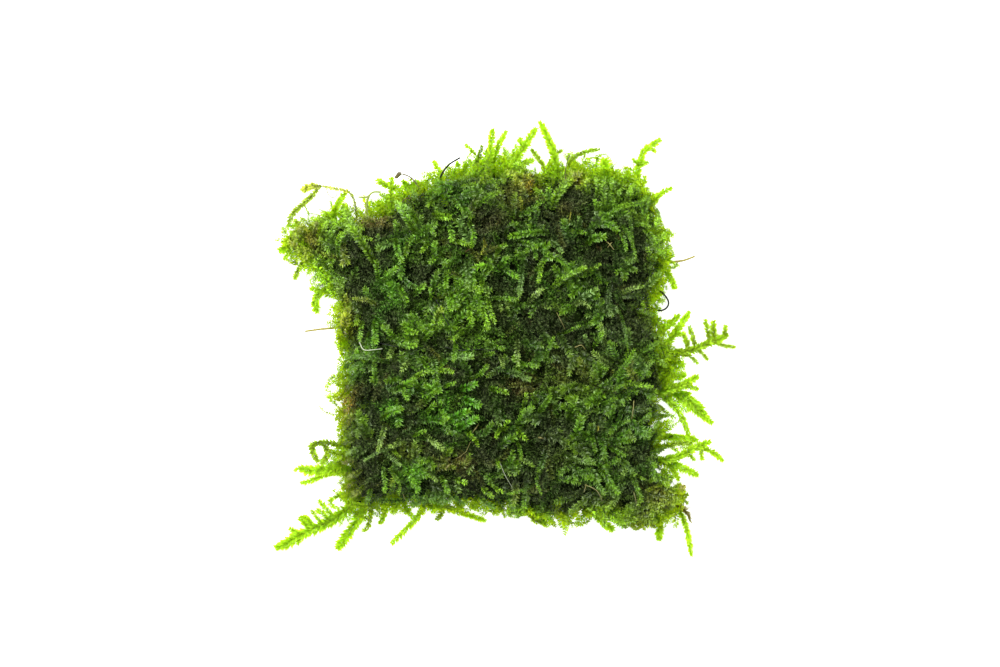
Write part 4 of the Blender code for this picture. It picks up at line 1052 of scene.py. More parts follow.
RIM_SHOOTS = [
    # clockwise from the top left corner
    (2, OLIVE, (324, 216), (312, 213.5), (300, 213)), (6, LIME, (349, 226), (347, 214), (345, 204)),
    (4, LIME, (333, 213), (331, 206), (330, 201)), (7, LIME, (334, 224), (328, 217), (322, 212)),
    (2, OLIVE, (326, 213), (321, 210), (317, 208)), (5, OLIVE, (313, 232), (308, 224), (302, 218)),
    (5, YELLOW, (322, 230), (320, 222), (318, 215)), (6, YELLOW, (308, 234), (300, 230), (291, 234)),
    (5, LIME, (302, 228), (291, 225), (282, 229)), (6, LIME, (312, 252), (300, 253), (289, 253)),
    (4, LIME, (316, 262), (309, 269), (306, 276)), (5, LIME, (324, 268), (315, 275), (309, 282)),
    (4, LIME, (331, 280), (322, 284), (314, 285)),
    (6, LIME, (346, 283), (330, 275), (318, 266), (309, 258)),
    (6, LIME, (390, 216), (383, 206), (378, 198)), (6, LIME, (382, 216), (374, 208), (370, 199)),
    (5, YELLOW, (386, 214), (386, 206), (387, 198)), (6, LIME, (414, 196), (408, 187), (402, 180)),
    (5, LIME, (420, 192), (414, 184), (408, 178)), (4, OLIVE, (404, 198), (405, 189), (404, 181)),
    (4, LIME, (426, 188), (428, 178), (432, 173), (438, 172)),
    (4, LIME, (452, 178), (455, 169), (458, 162)), (7, LIME, (465, 182), (472, 170), (478, 157)),
    (6, LIME, (460, 180), (464, 170), (470, 159)), (7, LIME, (482, 180), (484, 166), (485, 151)),
    (6, LIME, (486, 174), (487, 160), (489, 146)), (2, OLIVE, (488, 153), (485, 147), (482, 145)),
    (6, LIME, (496, 178), (500, 166), (500, 155)), (6, LIME, (502, 180), (505, 164), (504, 147)),
    (5, LIME, (508, 174), (509, 160), (508, 150)), (6, LIME, (512, 172), (514, 160), (513, 149)),
    (5, LIME, (517, 162), (518, 151), (516, 144)), (8, LIME, (512, 180), (519, 170), (527, 162)),
    (3, OLIVE, (519, 174), (526, 170), (533, 171)), (3, GREEN, (536, 186), (535.5, 176), (535, 167)),
    (5, OLIVE, (541, 188), (540, 180), (538, 175)), (5, LIME, (552, 188), (553, 178), (551, 171)),
    (6, LIME, (567, 182), (563, 170), (561, 161)), (6, OLIVE, (572, 180), (570, 168), (569, 153)),
    (7, LIME, (585, 184), (578, 172), (573, 161)), (7, FRESH, (600, 188), (592, 180), (586, 170)),
    (5, LIME, (594, 188), (596, 176), (592, 166)), (3, LIME, (600, 182), (597, 168), (597, 157)),
    (8, LIME, (606, 180), (605, 168), (606, 160)),
    (4, OLIVE, (597, 160), (600, 154.5), (606, 154), (611, 158)),
    (7, LIME, (606, 184), (613, 175), (619, 169)), (3, PALE, (611, 170), (615, 164), (618, 161)),
    (7, LIME, (617, 192), (621, 183), (621, 175)), (4.5, GREEN, (632, 184), (629, 174), (625, 167)),
    (7, LIME, (633, 192), (638, 182), (640, 171)), (8, LIME, (638, 196), (643, 186), (645, 176)),
    (3.5, LIME, (634, 178), (634, 168), (634, 160)), (3.5, LIME, (660, 230), (669, 233), (678, 233)),
    (4.5, LIME, (645, 312), (651, 314), (658, 316)),
    (4, LIME, (648, 299), (655, 297), (661, 299), (663, 305)),
    (5, LIME, (646, 306), (652, 303), (658, 307)), (7, LIME, (664, 392), (675, 402), (688, 412)),
    (6, LIME, (658, 396), (668, 401), (676, 411)), (6, LIME, (654, 427), (664, 423), (674, 421)),
    (6, LIME, (656, 434), (666, 431), (676, 425)), (4, LIME, (676, 424), (681, 420), (684, 414)),
    (1.5, GREY, (652, 414), (664, 417), (674, 415), (687, 411.5)),
    (6, LIME, (666, 446), (674, 448), (680, 455)), (6, LIME, (680, 448), (690, 448), (699, 445)),
    (7, LIME, (658, 439), (668, 438), (680, 440)), (5, OLIVE, (668, 446), (676, 445), (686, 444)),
    (6, LIME, (656, 466), (664, 471), (669, 477)), (5, LIME, (668, 466), (674, 472), (678, 478)),
    (2, GREY, (667, 477), (673, 482), (676, 489)), (5, LIME, (668, 371), (676, 368), (684, 366)),
    (6, LIME, (343, 376), (333, 376), (328, 382), (326, 391)),
    (5, LIME, (340, 409), (334, 404), (330, 400), (325, 395)),
    (4.5, OLIVE, (343, 415), (334, 415), (328, 413.5), (323, 411), (319, 406.5)),
    (6, YELLOW, (344, 322), (335, 322), (327, 322)), (5, PALE, (342, 328), (334, 326), (326, 325)),
    (6, OLIVE, (350, 458), (340, 455), (333, 452)),
    # between those
    (6, LIME, (392, 214), (384, 205), (374, 200)), (5, YELLOW, (388, 208), (380, 203), (372, 203)),
    (6, LIME, (416, 190), (409, 184), (402, 181)), (6, LIME, (410, 196), (406, 188), (403, 182)),
    (5, LIME, (404, 196), (399, 190), (394, 187)), (6, GREEN, (434, 190), (424, 184), (414, 181)),
    (6, FRESH, (428, 186), (420, 182), (412, 182)), (6, LIME, (436, 184), (432, 178), (427, 175)),
    (6, FRESH, (442, 184), (436, 180), (428, 179)), (5, LIME, (449, 180), (443, 173), (438, 168)),
    (7, LIME, (456, 182), (452, 174), (449, 167)), (6, LIME, (460, 180), (455, 172), (453, 166)),
    (6, LIME, (450, 184), (453, 176), (457, 169)), (5, OLIVE, (532, 510), (534, 518), (536, 524)),
    (6, LIME, (662, 408), (668, 414), (676, 418)), (6, OLIVE, (526, 510), (532, 518), (538, 524)),
    (6, GREEN, (433, 190), (429, 184), (424, 178)), (6, LIME, (463, 176), (460, 169), (457, 161)),
    (5, YELLOW, (299, 236), (293, 229), (289, 223)), (3, LIME, (480, 163), (475, 154), (468, 147)),
    (4, LIME, (484, 168), (477, 159), (470, 154)), (5, OLIVE, (573, 170), (569, 161), (564, 153)),
    (5, LIME, (579, 168), (575, 160), (571, 151)), (5, YELLOW, (307, 233), (303, 224), (300, 217)),
    (5, LIME, (303, 238), (297, 229), (293, 223)), (4, OLIVE, (313, 229), (309, 221), (307, 215)),
    (5, YELLOW, (299, 240), (292, 232), (285, 229)), (3, LIME, (337, 214), (332, 207), (330, 199)),
    (5, LIME, (324, 270), (316, 278), (311, 285)), (5, YELLOW, (344, 318), (335, 316), (326, 314)),
    (5, YELLOW, (345, 314), (337, 309), (330, 305)), (5, YELLOW, (351, 478), (343, 480), (337, 484)),
    (5, YELLOW, (352, 486), (344, 488), (338, 491)), (4, LIME, (347, 510), (343, 520), (339, 527)),
    (7, OLIVE, (534, 514), (541, 521), (549, 526)), (6, OLIVE, (542, 512), (548, 519), (555, 525)),
    (6, OLIVE, (616, 514), (621, 522), (627, 528)), (6, OLIVE, (640, 516), (640, 524), (637, 530)),
    (5, LIME, (661, 262), (668, 267), (676, 267)), (5, LIME, (655, 283), (662, 291), (665, 299)),
    (6, OLIVE, (648, 402), (656, 405), (664, 410)), (5, LIME, (652, 416), (660, 417), (668, 416)),
    (5, OLIVE, (528, 514), (536, 521), (546, 524)), (5, OLIVE, (348, 440), (342, 437), (337, 434)),
    (6, LIME, (342, 468), (333, 465), (324, 464)), (6, OLIVE, (524, 508), (531, 516), (540, 520)),
    (6, YELLOW, (664, 494), (673, 489), (681, 484)), (5, OLIVE, (668, 498), (678, 496), (686, 491)),
    (5, YELLOW, (670, 502), (679, 500), (686, 497)), (5, PALE, (662, 490), (668, 484), (672, 478)),
    (5, LIME, (340, 506), (344, 512), (346, 519)), (5, LIME, (348, 508), (350, 515), (348, 522)),
    (6, GREEN, (528, 508), (536, 514), (545, 518)), (6, LIME, (596, 502), (599, 510), (602, 518)),
    (6, LIME, (606, 504), (607, 512), (609, 520)), (6, LIME, (616, 504), (616, 513), (615, 521)),
    (5, LIME, (624, 506), (621, 514), (617, 520)), (5, PALE, (612, 506), (618, 513), (625, 518)),
    (6, DEEP, (440, 496), (446, 502), (453, 507)), (6, GREEN, (448, 498), (442, 504), (435, 508)),
    (6, GREEN, (462, 496), (468, 502), (476, 506)), (4, OLIVE, (344, 460), (335, 463), (326, 462)),
    (4, OLIVE, (344, 466), (335, 464), (327, 466)), (5, LIME, (540, 512), (537, 518), (531, 522)),
    (6, LIME, (650, 300), (656, 304), (660, 309)), (5, OLIVE, (650, 310), (656, 308), (662, 311)),
    (7, LIME, (464, 180), (460, 171), (457, 163)), (6, LIME, (470, 180), (466, 168), (463, 161)),
    (6, LIME, (474, 178), (473, 168), (469, 160)), (7, LIME, (492, 178), (490, 165), (487, 150)),
    (7, LIME, (484, 176), (481, 166), (482, 157)), (2.5, OLIVE, (489, 166), (493, 160), (496, 152)),
    (6, LIME, (503, 178), (501, 163), (499, 155)), (6, LIME, (508, 176), (506, 160), (505, 149)),
    (6, LIME, (514, 172), (512, 158), (513, 150)), (6, LIME, (519, 166), (516, 153), (516, 145)),
    (6, LIME, (562, 186), (559, 175), (558, 165)), (5, LIME, (566, 176), (564, 168), (560, 163)),
    (5, LIME, (570, 166), (569, 158), (568, 153)), (6, LIME, (577, 176), (574, 165), (571, 156)),
    (7, LIME, (590, 186), (582, 174), (577, 163)), (6, LIME, (601, 180), (598, 168), (597, 155)),
    (7, LIME, (606, 176), (604, 165), (601, 155)), (5, LIME, (610, 176), (612, 167), (611, 159)),
    (6, FRESH, (618, 190), (617, 180), (613, 170)), (4, LIME, (666, 438), (676, 436), (686, 437)),
    (6, LIME, (664, 402), (668, 398), (672, 395)), (6, YELLOW, (306, 246), (299, 240), (293, 234)),
    (6, LIME, (312, 250), (304, 244), (296, 241)), (5, YELLOW, (302, 238), (298, 229), (295, 221)),
    (5, LIME, (318, 238), (322, 228), (325, 220)), (7, YELLOW, (306, 252), (298, 246), (290, 240)),
    (7, LIME, (304, 242), (297, 238), (290, 233)), (6, YELLOW, (300, 250), (293, 244), (288, 238)),
    (5, LIME, (655, 280), (662, 284), (668, 289)), (6, LIME, (650, 290), (656, 296), (660, 303)),
    (5, LIME, (664, 258), (672, 262), (680, 266)), (4, LIME, (668, 266), (674, 268), (678, 264)),
    (6, LIME, (668, 366), (677, 368), (685, 368)), (6, LIME, (668, 360), (678, 360), (684, 358)),
    (6, OLIVE, (545, 512), (550, 520), (556, 527)), (6, LIME, (556, 511), (560, 518), (566, 524)),
    (6, LIME, (536, 510), (541, 517), (546, 524)), (5, LIME, (344, 444), (336, 449), (330, 455)),
    (5, LIME, (346, 470), (336, 462), (328, 456)), (4, LIME, (690, 446), (693, 440), (694, 434)),
    (3, LIME, (344, 416), (338, 419), (334, 422)), (6, LIME, (351, 345), (342, 346), (334, 342)),
    (6, LIME, (353, 355), (345, 355), (338, 360)), (5, LIME, (351, 365), (343, 366), (337, 371)),
    (5, YELLOW, (351, 392), (344, 388), (338, 385)), (5, YELLOW, (353, 400), (345, 398), (338, 395)),
    (5, YELLOW, (351, 425), (344, 424), (338, 420)), (6, LIME, (353, 452), (344, 450), (336, 446)),
    (4, LIME, (568, 516), (571, 523), (573, 528)), (5, PALE, (572, 523), (582, 525), (591, 519)),
    (5, LIME, (499, 506), (503, 512), (505, 518)), (4, PALE, (506, 511), (511, 517), (516, 518)),
    (6, OLIVE, (533, 514), (540, 522), (548, 527)), (6, OLIVE, (634, 513), (640, 522), (645, 530)),
    (6, OLIVE, (646, 513), (650, 522), (656, 528)), (6, OLIVE, (626, 516), (630, 524), (637, 530)),
    (2.5, GREY, (628, 518), (626, 525), (623, 530)), (5, GREY_GREEN, (671, 508), (668, 517), (667, 524)),
]
grow_laid("rim_shoots", side_leaves, "young_moss", 45, RIM_SHOOTS,
          lifts=(-0.001, 0.0012, 0.0012), lowest=0.005, foot=0.7)

# ----------------------------------------------------------------------
# The underside: the oldest shoots, pressed flat against what the clump lies on and gone brown for want
# of light.

UNDER_SHOOTS = 420
under_leaves = leaf_finish("under_leaves", through=colour(120, 120, 30), share=0.1, young=0.0)
random = np.random.default_rng(13)
tips, normals = surface_points(random, UNDER_SHOOTS, -1.01, -0.85)
headings = headings_on(random, normals, np.zeros(3))
spines = spines_to(tips * INWARD, headings, normals, random.uniform(0.006, 0.011, UNDER_SHOOTS),
                   np.zeros((UNDER_SHOOTS, 2)), random.normal(0, 0.6, UNDER_SHOOTS))
spines[:, :, 2] = random.uniform(0.0004, 0.0012, UNDER_SHOOTS)[:, None]
kept = on_map(mat_heights, spines[:, 0]) > 0
spines, normals = spines[kept], normals[kept]
own = shoot_tints(random, len(spines), (BROWN, OLIVE, DARK, DEEP), (0.25, 0.25, 0.25, 0.25))
under = Growth(51)
under.shoots(spines, normals, random.uniform(0.0018, 0.0024, len(spines)),
             lambda points, shoot, share: own[shoot], stem_shade=0.8, spacing=0.0006, ranks=RANKS[:2])
under.piece("under_growth", under_leaves, "mat_moss", "moss_mat")

# ----------------------------------------------------------------------
# The top left fronds: a thin runner that arches out of the mat and hangs over its corner, with the
# young shoots round it. They grew out of the edge and are rooted inside it.

LEAFY, LEAF_EDGE = 1.06, 0.00086  # how far a frond's leaves reach past the solid that stands for it
FROND_RANKS = ((-1, 57, 6, 1.0), (1, 57, 6, 1.0), (-1, 32, 24, 0.80), (1, 32, 24, 0.80))
FROND_TINTS = {
    # slot, or piece that differs from the rest of its slot: (tint at the foot, tint at the tip)
    "young_moss": (colour(112, 154, 24), colour(180, 216, 40)),
    "olive_moss": (colour(118, 146, 34), colour(162, 190, 52)),
    "dry_moss": (colour(74, 72, 36), colour(106, 106, 48)),
    "right_big_frond": (colour(74, 86, 26), colour(168, 208, 24)),
    "arching_runner": (colour(200, 204, 110), colour(222, 214, 92)),
    "hanging_branch": (colour(190, 210, 80), colour(176, 196, 72)),
    "right_tuft_upper": (colour(120, 112, 50), colour(176, 180, 92)),
    "top_spike": (colour(84, 120, 26), colour(70, 100, 30)),
    "top_arm": (colour(84, 104, 26), colour(146, 184, 44)),
}
FROND_FINISHES = {
    "young_moss": leaf_finish("young_fronds", through=colour(206, 240, 20), share=0.55, young=0.6),
    "olive_moss": leaf_finish("olive_fronds", through=colour(176, 206, 30), share=0.5, young=0.2),
    "dry_moss": leaf_finish("dry_fronds", through=colour(190, 176, 80), share=0.4, young=0.0),
}
FROND_FINISHES["top_arm"] = FROND_FINISHES["olive_moss"]  # it is dry, but not brown yet


def own_or_slot(choices, name, slot):
    """What a piece has of its own, or else what its slot has."""
    return choices.get(name, choices[slot])


def grow_fronds(seed, fronds):
    """The pieces that stand out of the rim. Each is its node, its slot and its strands, and a strand is
    its width in millimetres and its route from foot to tip, by column, row and height in millimetres."""
    for number, (name, slot, *strands) in enumerate(fronds):
        growth = Growth(seed + number)
        spines = np.array([curve_through([place(*point) for point in route]) for _, *route in strands])
        widths = np.array([width for width, *_ in strands]) * MM * LEAFY + LEAF_EDGE
        ups = tilted(growth.random, np.tile(UP, (len(spines), 1)), 0.25)
        foot, tip = own_or_slot(FROND_TINTS, name, slot)
        growth.shoots(
            spines, ups, widths,
            lambda points, shoot, share: between(foot, tip, np.clip(share / TIP_START, 0, 1)[:, None]),
            stem_shade=0.7, stem_radius=0.00016, spacing=0.00029, ranks=FROND_RANKS, jitter=0.7,
            slimness=0.36)
        growth.piece(f"{name}_leafy", own_or_slot(FROND_FINISHES, name, slot), slot, name)


grow_fronds(100, [
    ("arching_runner", "olive_moss",
     (0.35, (357, 220, 6), (355.5, 207, 9), (353.5, 198, 10.5), (348, 191.5, 11), (340, 189.5, 11),
      (331, 188, 10.6), (322, 186, 10.2)),
     (1.3, (322, 186.5, 10.2), (311, 186, 10.2), (302.5, 190.5, 9.8))),
    ("hanging_branch", "olive_moss",
     (1.05, (319, 185.5, 10.2), (316.5, 190.5, 9.4), (310, 197.5, 8), (301, 205.5, 6.8),
      (294, 212.5, 5.8), (290, 219, 5.2), (288.6, 225, 4.8))),
    ("upright_shoot_left", "young_moss",
     (1.2, (333, 226, 7), (334, 213, 8), (338, 203, 9), (345.5, 193, 8.6))),
    ("lobe_tip", "young_moss",
     (2.0, (304, 247, 4), (291, 246, 3.5), (280.5, 250.5, 2.5)),
     (1.0, (293, 247, 3.5), (289, 254, 2.6), (284.5, 259.5, 1.8))),
    ("hanging_olive_shoot", "olive_moss",
     (0.9, (309, 253, 4.6), (301.5, 265, 3.6), (298, 271, 2.6), (294.5, 279, 1.6))),
    ("left_drop_shoot", "young_moss",
     (1.6, (338, 292, 5), (324, 291, 4.6), (317, 297, 3.8), (315, 304, 3), (317, 311.5, 2)),
     (1.0, (323, 291.5, 4.6), (316, 289.5, 4.2), (310.5, 288.5, 3.6))),
    ("left_cross_shoot", "young_moss",
     (1.0, (392, 216, 8), (391, 200, 8.4), (391, 190, 8.4), (391.5, 178, 7.8)),
     (1.2, (391.5, 188.5, 8.3), (384, 184.5, 7.8), (377.5, 180.5, 7)),
     (1.1, (390.5, 189, 8.4), (397, 187.5, 8.4), (402, 188.5, 8))),
])

# ----------------------------------------------------------------------
# The top fronds: the tallest young shoots of the clump, which reach straight out of its far edge, and a
# few thin dry stems among them. They are rooted inside the edge.

grow_fronds(200, [
    ("top_pale_tip", "young_moss", (0.9, (447, 188, 8), (440, 173, 8), (433.5, 161.5, 7.4))),
    ("top_nodding_tip", "young_moss",
     (0.3, (460, 184, 6), (465, 163, 6.4), (471.5, 151.5, 6.4)),
     (0.6, (476, 155, 6.2), (471, 150, 6.4), (465.5, 145, 6))),
    ("top_spike", "olive_moss", (0.8, (470, 186, 7), (475, 167, 7), (479, 156, 6.6), (481.5, 146, 6))),
    ("top_pair_left", "young_moss",
     (1.3, (488, 188, 9.4), (489, 168, 9.4), (490.5, 152, 9), (492.5, 129.8, 8))),
    ("top_pair_right", "young_moss",
     (1.1, (489, 188, 6.6), (493, 163, 6.8), (497, 149, 6.6), (501, 140, 6.2), (506, 131.5, 5.6))),
    ("top_big_shoot", "young_moss",
     (1.5, (503, 188, 8), (513, 166, 8.2), (521, 152.5, 8), (529, 139.5, 7.4), (535.8, 129, 6.6)),
     (1.1, (522, 150.5, 7.9), (521.5, 145, 7.8), (520, 138.5, 7.4)),
     (1.4, (513, 166, 8.2), (523, 164.5, 7.6), (531.8, 160, 6.8))),
    ("top_tall_shoot", "young_moss",
     (1.5, (559, 194, 9), (557.5, 172, 9), (554, 156, 8.6), (549.5, 142, 8), (545, 132.5, 7.4),
      (540.3, 122.7, 6.6))),
    ("top_thin_shoot", "olive_moss",
     (0.8, (549, 190, 5), (544, 168, 5.4), (538, 158, 5.4), (531.5, 149.5, 5))),
    ("top_hook_shoot", "olive_moss",
     (0.8, (546, 190, 7), (548, 172, 7), (551, 161, 6.9), (556, 153, 6.7), (562.5, 150.2, 6.4))),
    ("top_arm", "dry_moss",
     (0.8, (567, 192, 6), (566.5, 176, 6.6), (570, 163, 7.4), (576, 156, 7.8), (587, 151.5, 7.6),
      (599.5, 149.3, 7))),
    ("top_knob", "young_moss", (2.0, (605, 190, 9), (605, 174, 9.4), (605.5, 160, 9.4))),
    ("top_right_frond", "young_moss",
     (1.5, (633, 196, 8), (637, 175, 8), (640, 162, 7.6), (644.5, 151, 7), (652, 145.5, 6.4),
      (660, 140, 5.6)),
     (0.7, (646, 149.5, 6.9), (650.5, 149, 6.5), (655.5, 151.5, 6)),
     (0.8, (639, 166, 7.8), (636, 163, 7.6), (632.5, 159.5, 7.2)),
     (0.8, (639, 166, 7.8), (643, 164.5, 7.6), (647.5, 162, 7.2))),
    ("top_right_curl", "young_moss",
     (1.0, (642, 214, 8), (653, 202, 8), (661, 193.5, 7.6), (671.5, 188, 6.8))),
])

# ----------------------------------------------------------------------
# The right fronds: branched shoots that grew out sideways in the light, one of them old enough to have
# gone olive and to carry a row of side shoots. They are rooted inside the edge.

grow_fronds(300, [
    ("right_drop_shoot", "young_moss",
     (1.3, (656, 262, 5), (668, 273, 4.6), (671.5, 280, 4), (674.8, 287.8, 3))),
    ("right_pair_outer", "young_moss",
     (1.5, (645, 339, 6.8), (661, 331, 6.8), (670, 323.5, 6.6), (678.5, 315.5, 6))),
    ("right_pair_inner", "young_moss",
     (1.4, (652, 356, 4.4), (666, 345, 4.6), (674, 334, 4.8), (681, 324, 4.6), (689, 312.5, 4)),
     (0.9, (673, 335.5, 4.8), (679, 334, 4.6), (684.5, 334, 4.2))),
    ("right_big_frond", "olive_moss",
     (1.7, (644, 358, 8), (668, 354.5, 8), (684, 352, 7.6), (699, 347.5, 7), (712, 341.5, 6.4),
      (727, 335.5, 5.6)),
     (0.9, (688, 351, 7.5), (687, 343, 7.4), (684, 335.5, 7)),
     (1.0, (695, 348.5, 7.2), (694, 340, 7.2), (690, 327, 6.6)),
     (0.9, (710, 342.5, 6.5), (708, 332, 6.4), (705, 320, 5.8)),
     (1.2, (713.5, 341, 6.3), (713.5, 331, 6.2), (713.5, 322, 5.8)),
     (0.9, (724, 337, 5.8), (725, 331.5, 5.6), (725.5, 326, 5.2)),
     (0.6, (712, 341.5, 6.4), (723, 345.3, 5.6), (735.3, 347.3, 5)),
     (0.5, (696, 348.5, 7.1), (703, 354.5, 6.4), (707.5, 359.5, 5.6)),
     (0.6, (680, 352.5, 7.7), (690, 356.3, 7), (697.5, 363.5, 6))),
    ("right_stub_upper", "young_moss",
     (1.0, (656, 364, 5.4), (666, 362, 5.4), (676, 362, 5), (684.5, 364.5, 4.2))),
    ("right_stub_lower", "young_moss",
     (1.6, (655, 370, 6), (670, 374, 6), (678, 377, 5.4), (684.5, 374.5, 4.8))),
    ("right_upper_fork", "young_moss",
     (1.5, (654, 393, 8), (672, 388.5, 8), (684, 384.5, 7.6), (697.5, 376.5, 6.8)),
     (1.2, (680, 386, 7.7), (689, 387.5, 7.2), (697.5, 389, 6.6))),
    ("right_broad_frond", "young_moss",
     (2.9, (656, 383, 3.6), (673, 389.5, 3.6), (685.5, 398.5, 3.4), (695.5, 407, 3), (702, 413, 2.8)),
     (1.5, (673, 394, 3.6), (687, 402.5, 3.4), (699, 411.5, 3), (711.5, 422.5, 2.2))),
    ("right_cross_shoot", "young_moss",
     (1.2, (655, 391, 6), (671, 403, 6), (679, 413, 6), (685, 425, 6), (688.5, 436, 5.8))),
    ("right_straight_shoot", "young_moss",
     (1.3, (648, 430, 5), (668, 436.5, 4.8), (682, 438, 4.2), (697, 440.3, 3.4))),
    ("right_arc_shoot", "olive_moss",
     (0.8, (650, 451, 5.4), (670, 444.5, 5.4), (683, 443, 5.2), (692, 444.5, 4.8))),
    ("right_fork_frond", "young_moss",
     (1.5, (650, 461, 7.4), (672, 458.5, 7.4), (685, 453.5, 7), (697, 447.5, 6.4), (709.5, 441.5, 5.6)),
     (0.7, (687, 452.5, 6.9), (691, 457, 6.2), (694.5, 460, 5.6))),
    ("right_fork_branch", "young_moss",
     (1.0, (697.5, 448, 5.6), (706.5, 449.5, 4.8), (715.5, 454, 3.8), (722.5, 460.5, 2.8)),
     (0.7, (701, 449.5, 5.3), (701.5, 455, 4.7), (702, 459.5, 4))),
    ("right_low_frond", "young_moss",
     (1.6, (654, 458.5, 5), (674, 465, 5), (686, 470, 4.4), (697, 475, 3.4)),
     (0.9, (671, 463.5, 5), (675, 471, 4), (678.5, 480, 2.6))),
    ("right_tuft_upper", "dry_moss", (1.1, (665, 500, 8), (677, 492, 7.6), (684.5, 486.5, 7))),
    ("right_tuft_lower", "olive_moss",
     (1.2, (666, 504, 5), (679, 498.5, 5), (687, 494.5, 4.4)),
     (0.7, (679, 499, 5), (683, 501.5, 4.7), (687.3, 502.8, 4.2))),
    ("right_tail", "dry_moss", (1.2, (670, 501, 6.4), (684, 509, 6), (689, 515, 5), (690.8, 520.5, 3.6))),
])

# ----------------------------------------------------------------------
# The bottom fronds: young shoots that trail from the near edge, and the largest frond of the clump,
# which lies out from its corner with side shoots along its upper edge.

grow_fronds(400, [
    ("bottom_right_long", "young_moss",
     (1.0, (673, 498, 4), (682, 515, 3.8), (687, 530, 3), (690, 545, 2), (691.3, 555, 1.4))),
    ("bottom_right_lance", "young_moss",
     (1.6, (661.5, 504, 7), (659.5, 520, 6), (659.5, 530, 4.6), (658.8, 539, 3))),
    ("bottom_blunt_shoot", "young_moss", (1.7, (592, 508, 4), (602, 521, 3.2), (612.5, 529.5, 2.2))),
    ("bottom_long_shoot", "young_moss",
     (1.1, (436, 501, 4.4), (455, 511, 4), (470, 515.5, 3.2), (485, 520.8, 2.2))),
    ("bottom_dark_stub", "olive_moss", (1.0, (445, 498, 4), (442, 512, 3.4), (437, 519.5, 2.4))),
    ("bottom_slant_frond", "young_moss",
     (1.3, (427, 499, 5), (418, 517, 4), (405.5, 530.5, 2.8), (392, 543.5, 1.6)),
     (1.0, (402, 499, 5), (408, 511, 4.4), (415, 518.5, 3.8))),
    ("bottom_short_shoot", "young_moss", (1.3, (387, 496, 4), (384.5, 511, 3.4), (380.5, 523, 2.4))),
    ("bottom_thin_shoot", "olive_moss",
     (0.8, (372, 501, 3.6), (370, 517, 3), (368, 526, 2.4), (363, 531.3, 1.8))),
    ("bottom_lance", "young_moss",
     (2.2, (368, 500, 4), (357, 520, 3.2), (348, 533, 2.4), (338, 547.8, 1.4))),
    ("bottom_left_frond", "young_moss",
     (2.3, (360, 499, 4), (340, 515, 3.6), (325, 524, 3), (310, 530.5, 2.6), (297, 537, 2.2),
      (286, 543.5, 1.8), (276.8, 547.3, 1.4)),
     (0.9, (334, 518, 3.3), (326, 508.5, 3.8), (319, 500.8, 4)),
     (1.0, (329, 520.5, 3.2), (323, 513.5, 3.4), (317, 510, 3.4)),
     (0.8, (323, 524.5, 3), (317, 517, 3.2), (311.5, 510.5, 3.4)),
     (1.1, (314, 528.5, 2.7), (308, 519.5, 2.8), (303.5, 516.5, 2.8)),
     (1.1, (311, 529.5, 2.6), (305, 524, 2.4), (300, 517.5, 2.4)),
     (1.0, (301, 535, 2.3), (295, 531.5, 2.2), (290, 528.5, 2.2)),
     (0.8, (301, 535.5, 2.3), (299.5, 539.5, 1.8), (297.8, 544, 1.4))),
])

# ----------------------------------------------------------------------
# The left fronds: a few short young shoots low on the left edge, which bent along it as they grew. They
# are rooted inside the edge.

grow_fronds(500, [
    ("left_curl", "young_moss",
     (0.8, (353, 490, 6.4), (342, 494.5, 6.2), (333, 498, 5.8), (329.5, 502, 5.4), (333, 506, 5.2),
      (339, 508.5, 5))),
    ("left_pale_frond", "young_moss",
     (0.9, (350, 474.5, 4), (335, 473.5, 3.8), (322, 476, 3.2), (311, 481, 2.6), (301, 483, 2.2))),
    ("left_wide_frond", "young_moss",
     (2.1, (356, 469, 6), (340, 470, 6), (328, 469.5, 5.6), (316, 470.5, 5), (308, 470.5, 4.6),
      (301.5, 468.5, 4)),
     (0.5, (304, 469, 4.2), (298, 467.8, 3.8), (295, 471, 3.4))),
    ("left_bent_shoot", "olive_moss",
     (1.4, (350, 447, 6.4), (336, 444, 6.4), (324, 442, 6), (312, 444.5, 5.4), (312.5, 451, 4.4),
      (317.5, 461, 3)),
     (1.2, (322, 442.8, 6), (328, 452, 5), (325, 459, 4.2), (322, 463.5, 3.6))),
])

# ----------------------------------------------------------------------
# The bare strands: wiry dead stems, dry stalks and a straw-coloured bit of old stem, with no leaves left
# on them. They grew with the rest and are held in it by one or both ends.


BARK_RING, BARK_GRAIN, BARK_RELIEF = 0.0012, 0.0002, 0.00004


def strand_finish(name, dark, light, share=0.0, through=None, gloss=0.5):
    """Smooth bark in two tones, and light through it where it is thin and pale."""
    finish = Finish(name)
    rings, grain = finish.noise(BARK_RING), finish.noise(BARK_GRAIN)
    skin = finish.node("ShaderNodeBsdfPrincipled", {}, {
        "Base Color": finish.mix(rings, dark, light), "Roughness": 0.30 + grain * 0.25,
        "Specular IOR Level": gloss, "Normal": finish.bump(grain, BARK_RELIEF)})
    return finish.wear(finish.lit_through(share, skin, through) if share else skin)


STRAND_SIDES, STRAND_POINTS, STRAND_TIP = 8, 41, 0.75
BARE_BREADTH = 1.25
STRAND_FINISHES = {
    "dry_moss": strand_finish(
        "dry_stem", colour(140, 122, 60), colour(198, 190, 118), 0.35, colour(226, 222, 110)),
    "capsule_stalk": strand_finish(
        "seed_stalk", colour(70, 60, 40), colour(132, 126, 74), 0.15, colour(170, 160, 80)),
    "curled_stem": strand_finish(
        "green_stem", colour(128, 138, 64), colour(188, 198, 116), 0.4, colour(214, 226, 130)),
    "dark_strand": strand_finish("wiry_stem", colour(10, 10, 10), colour(34, 32, 28), gloss=0.15),
}


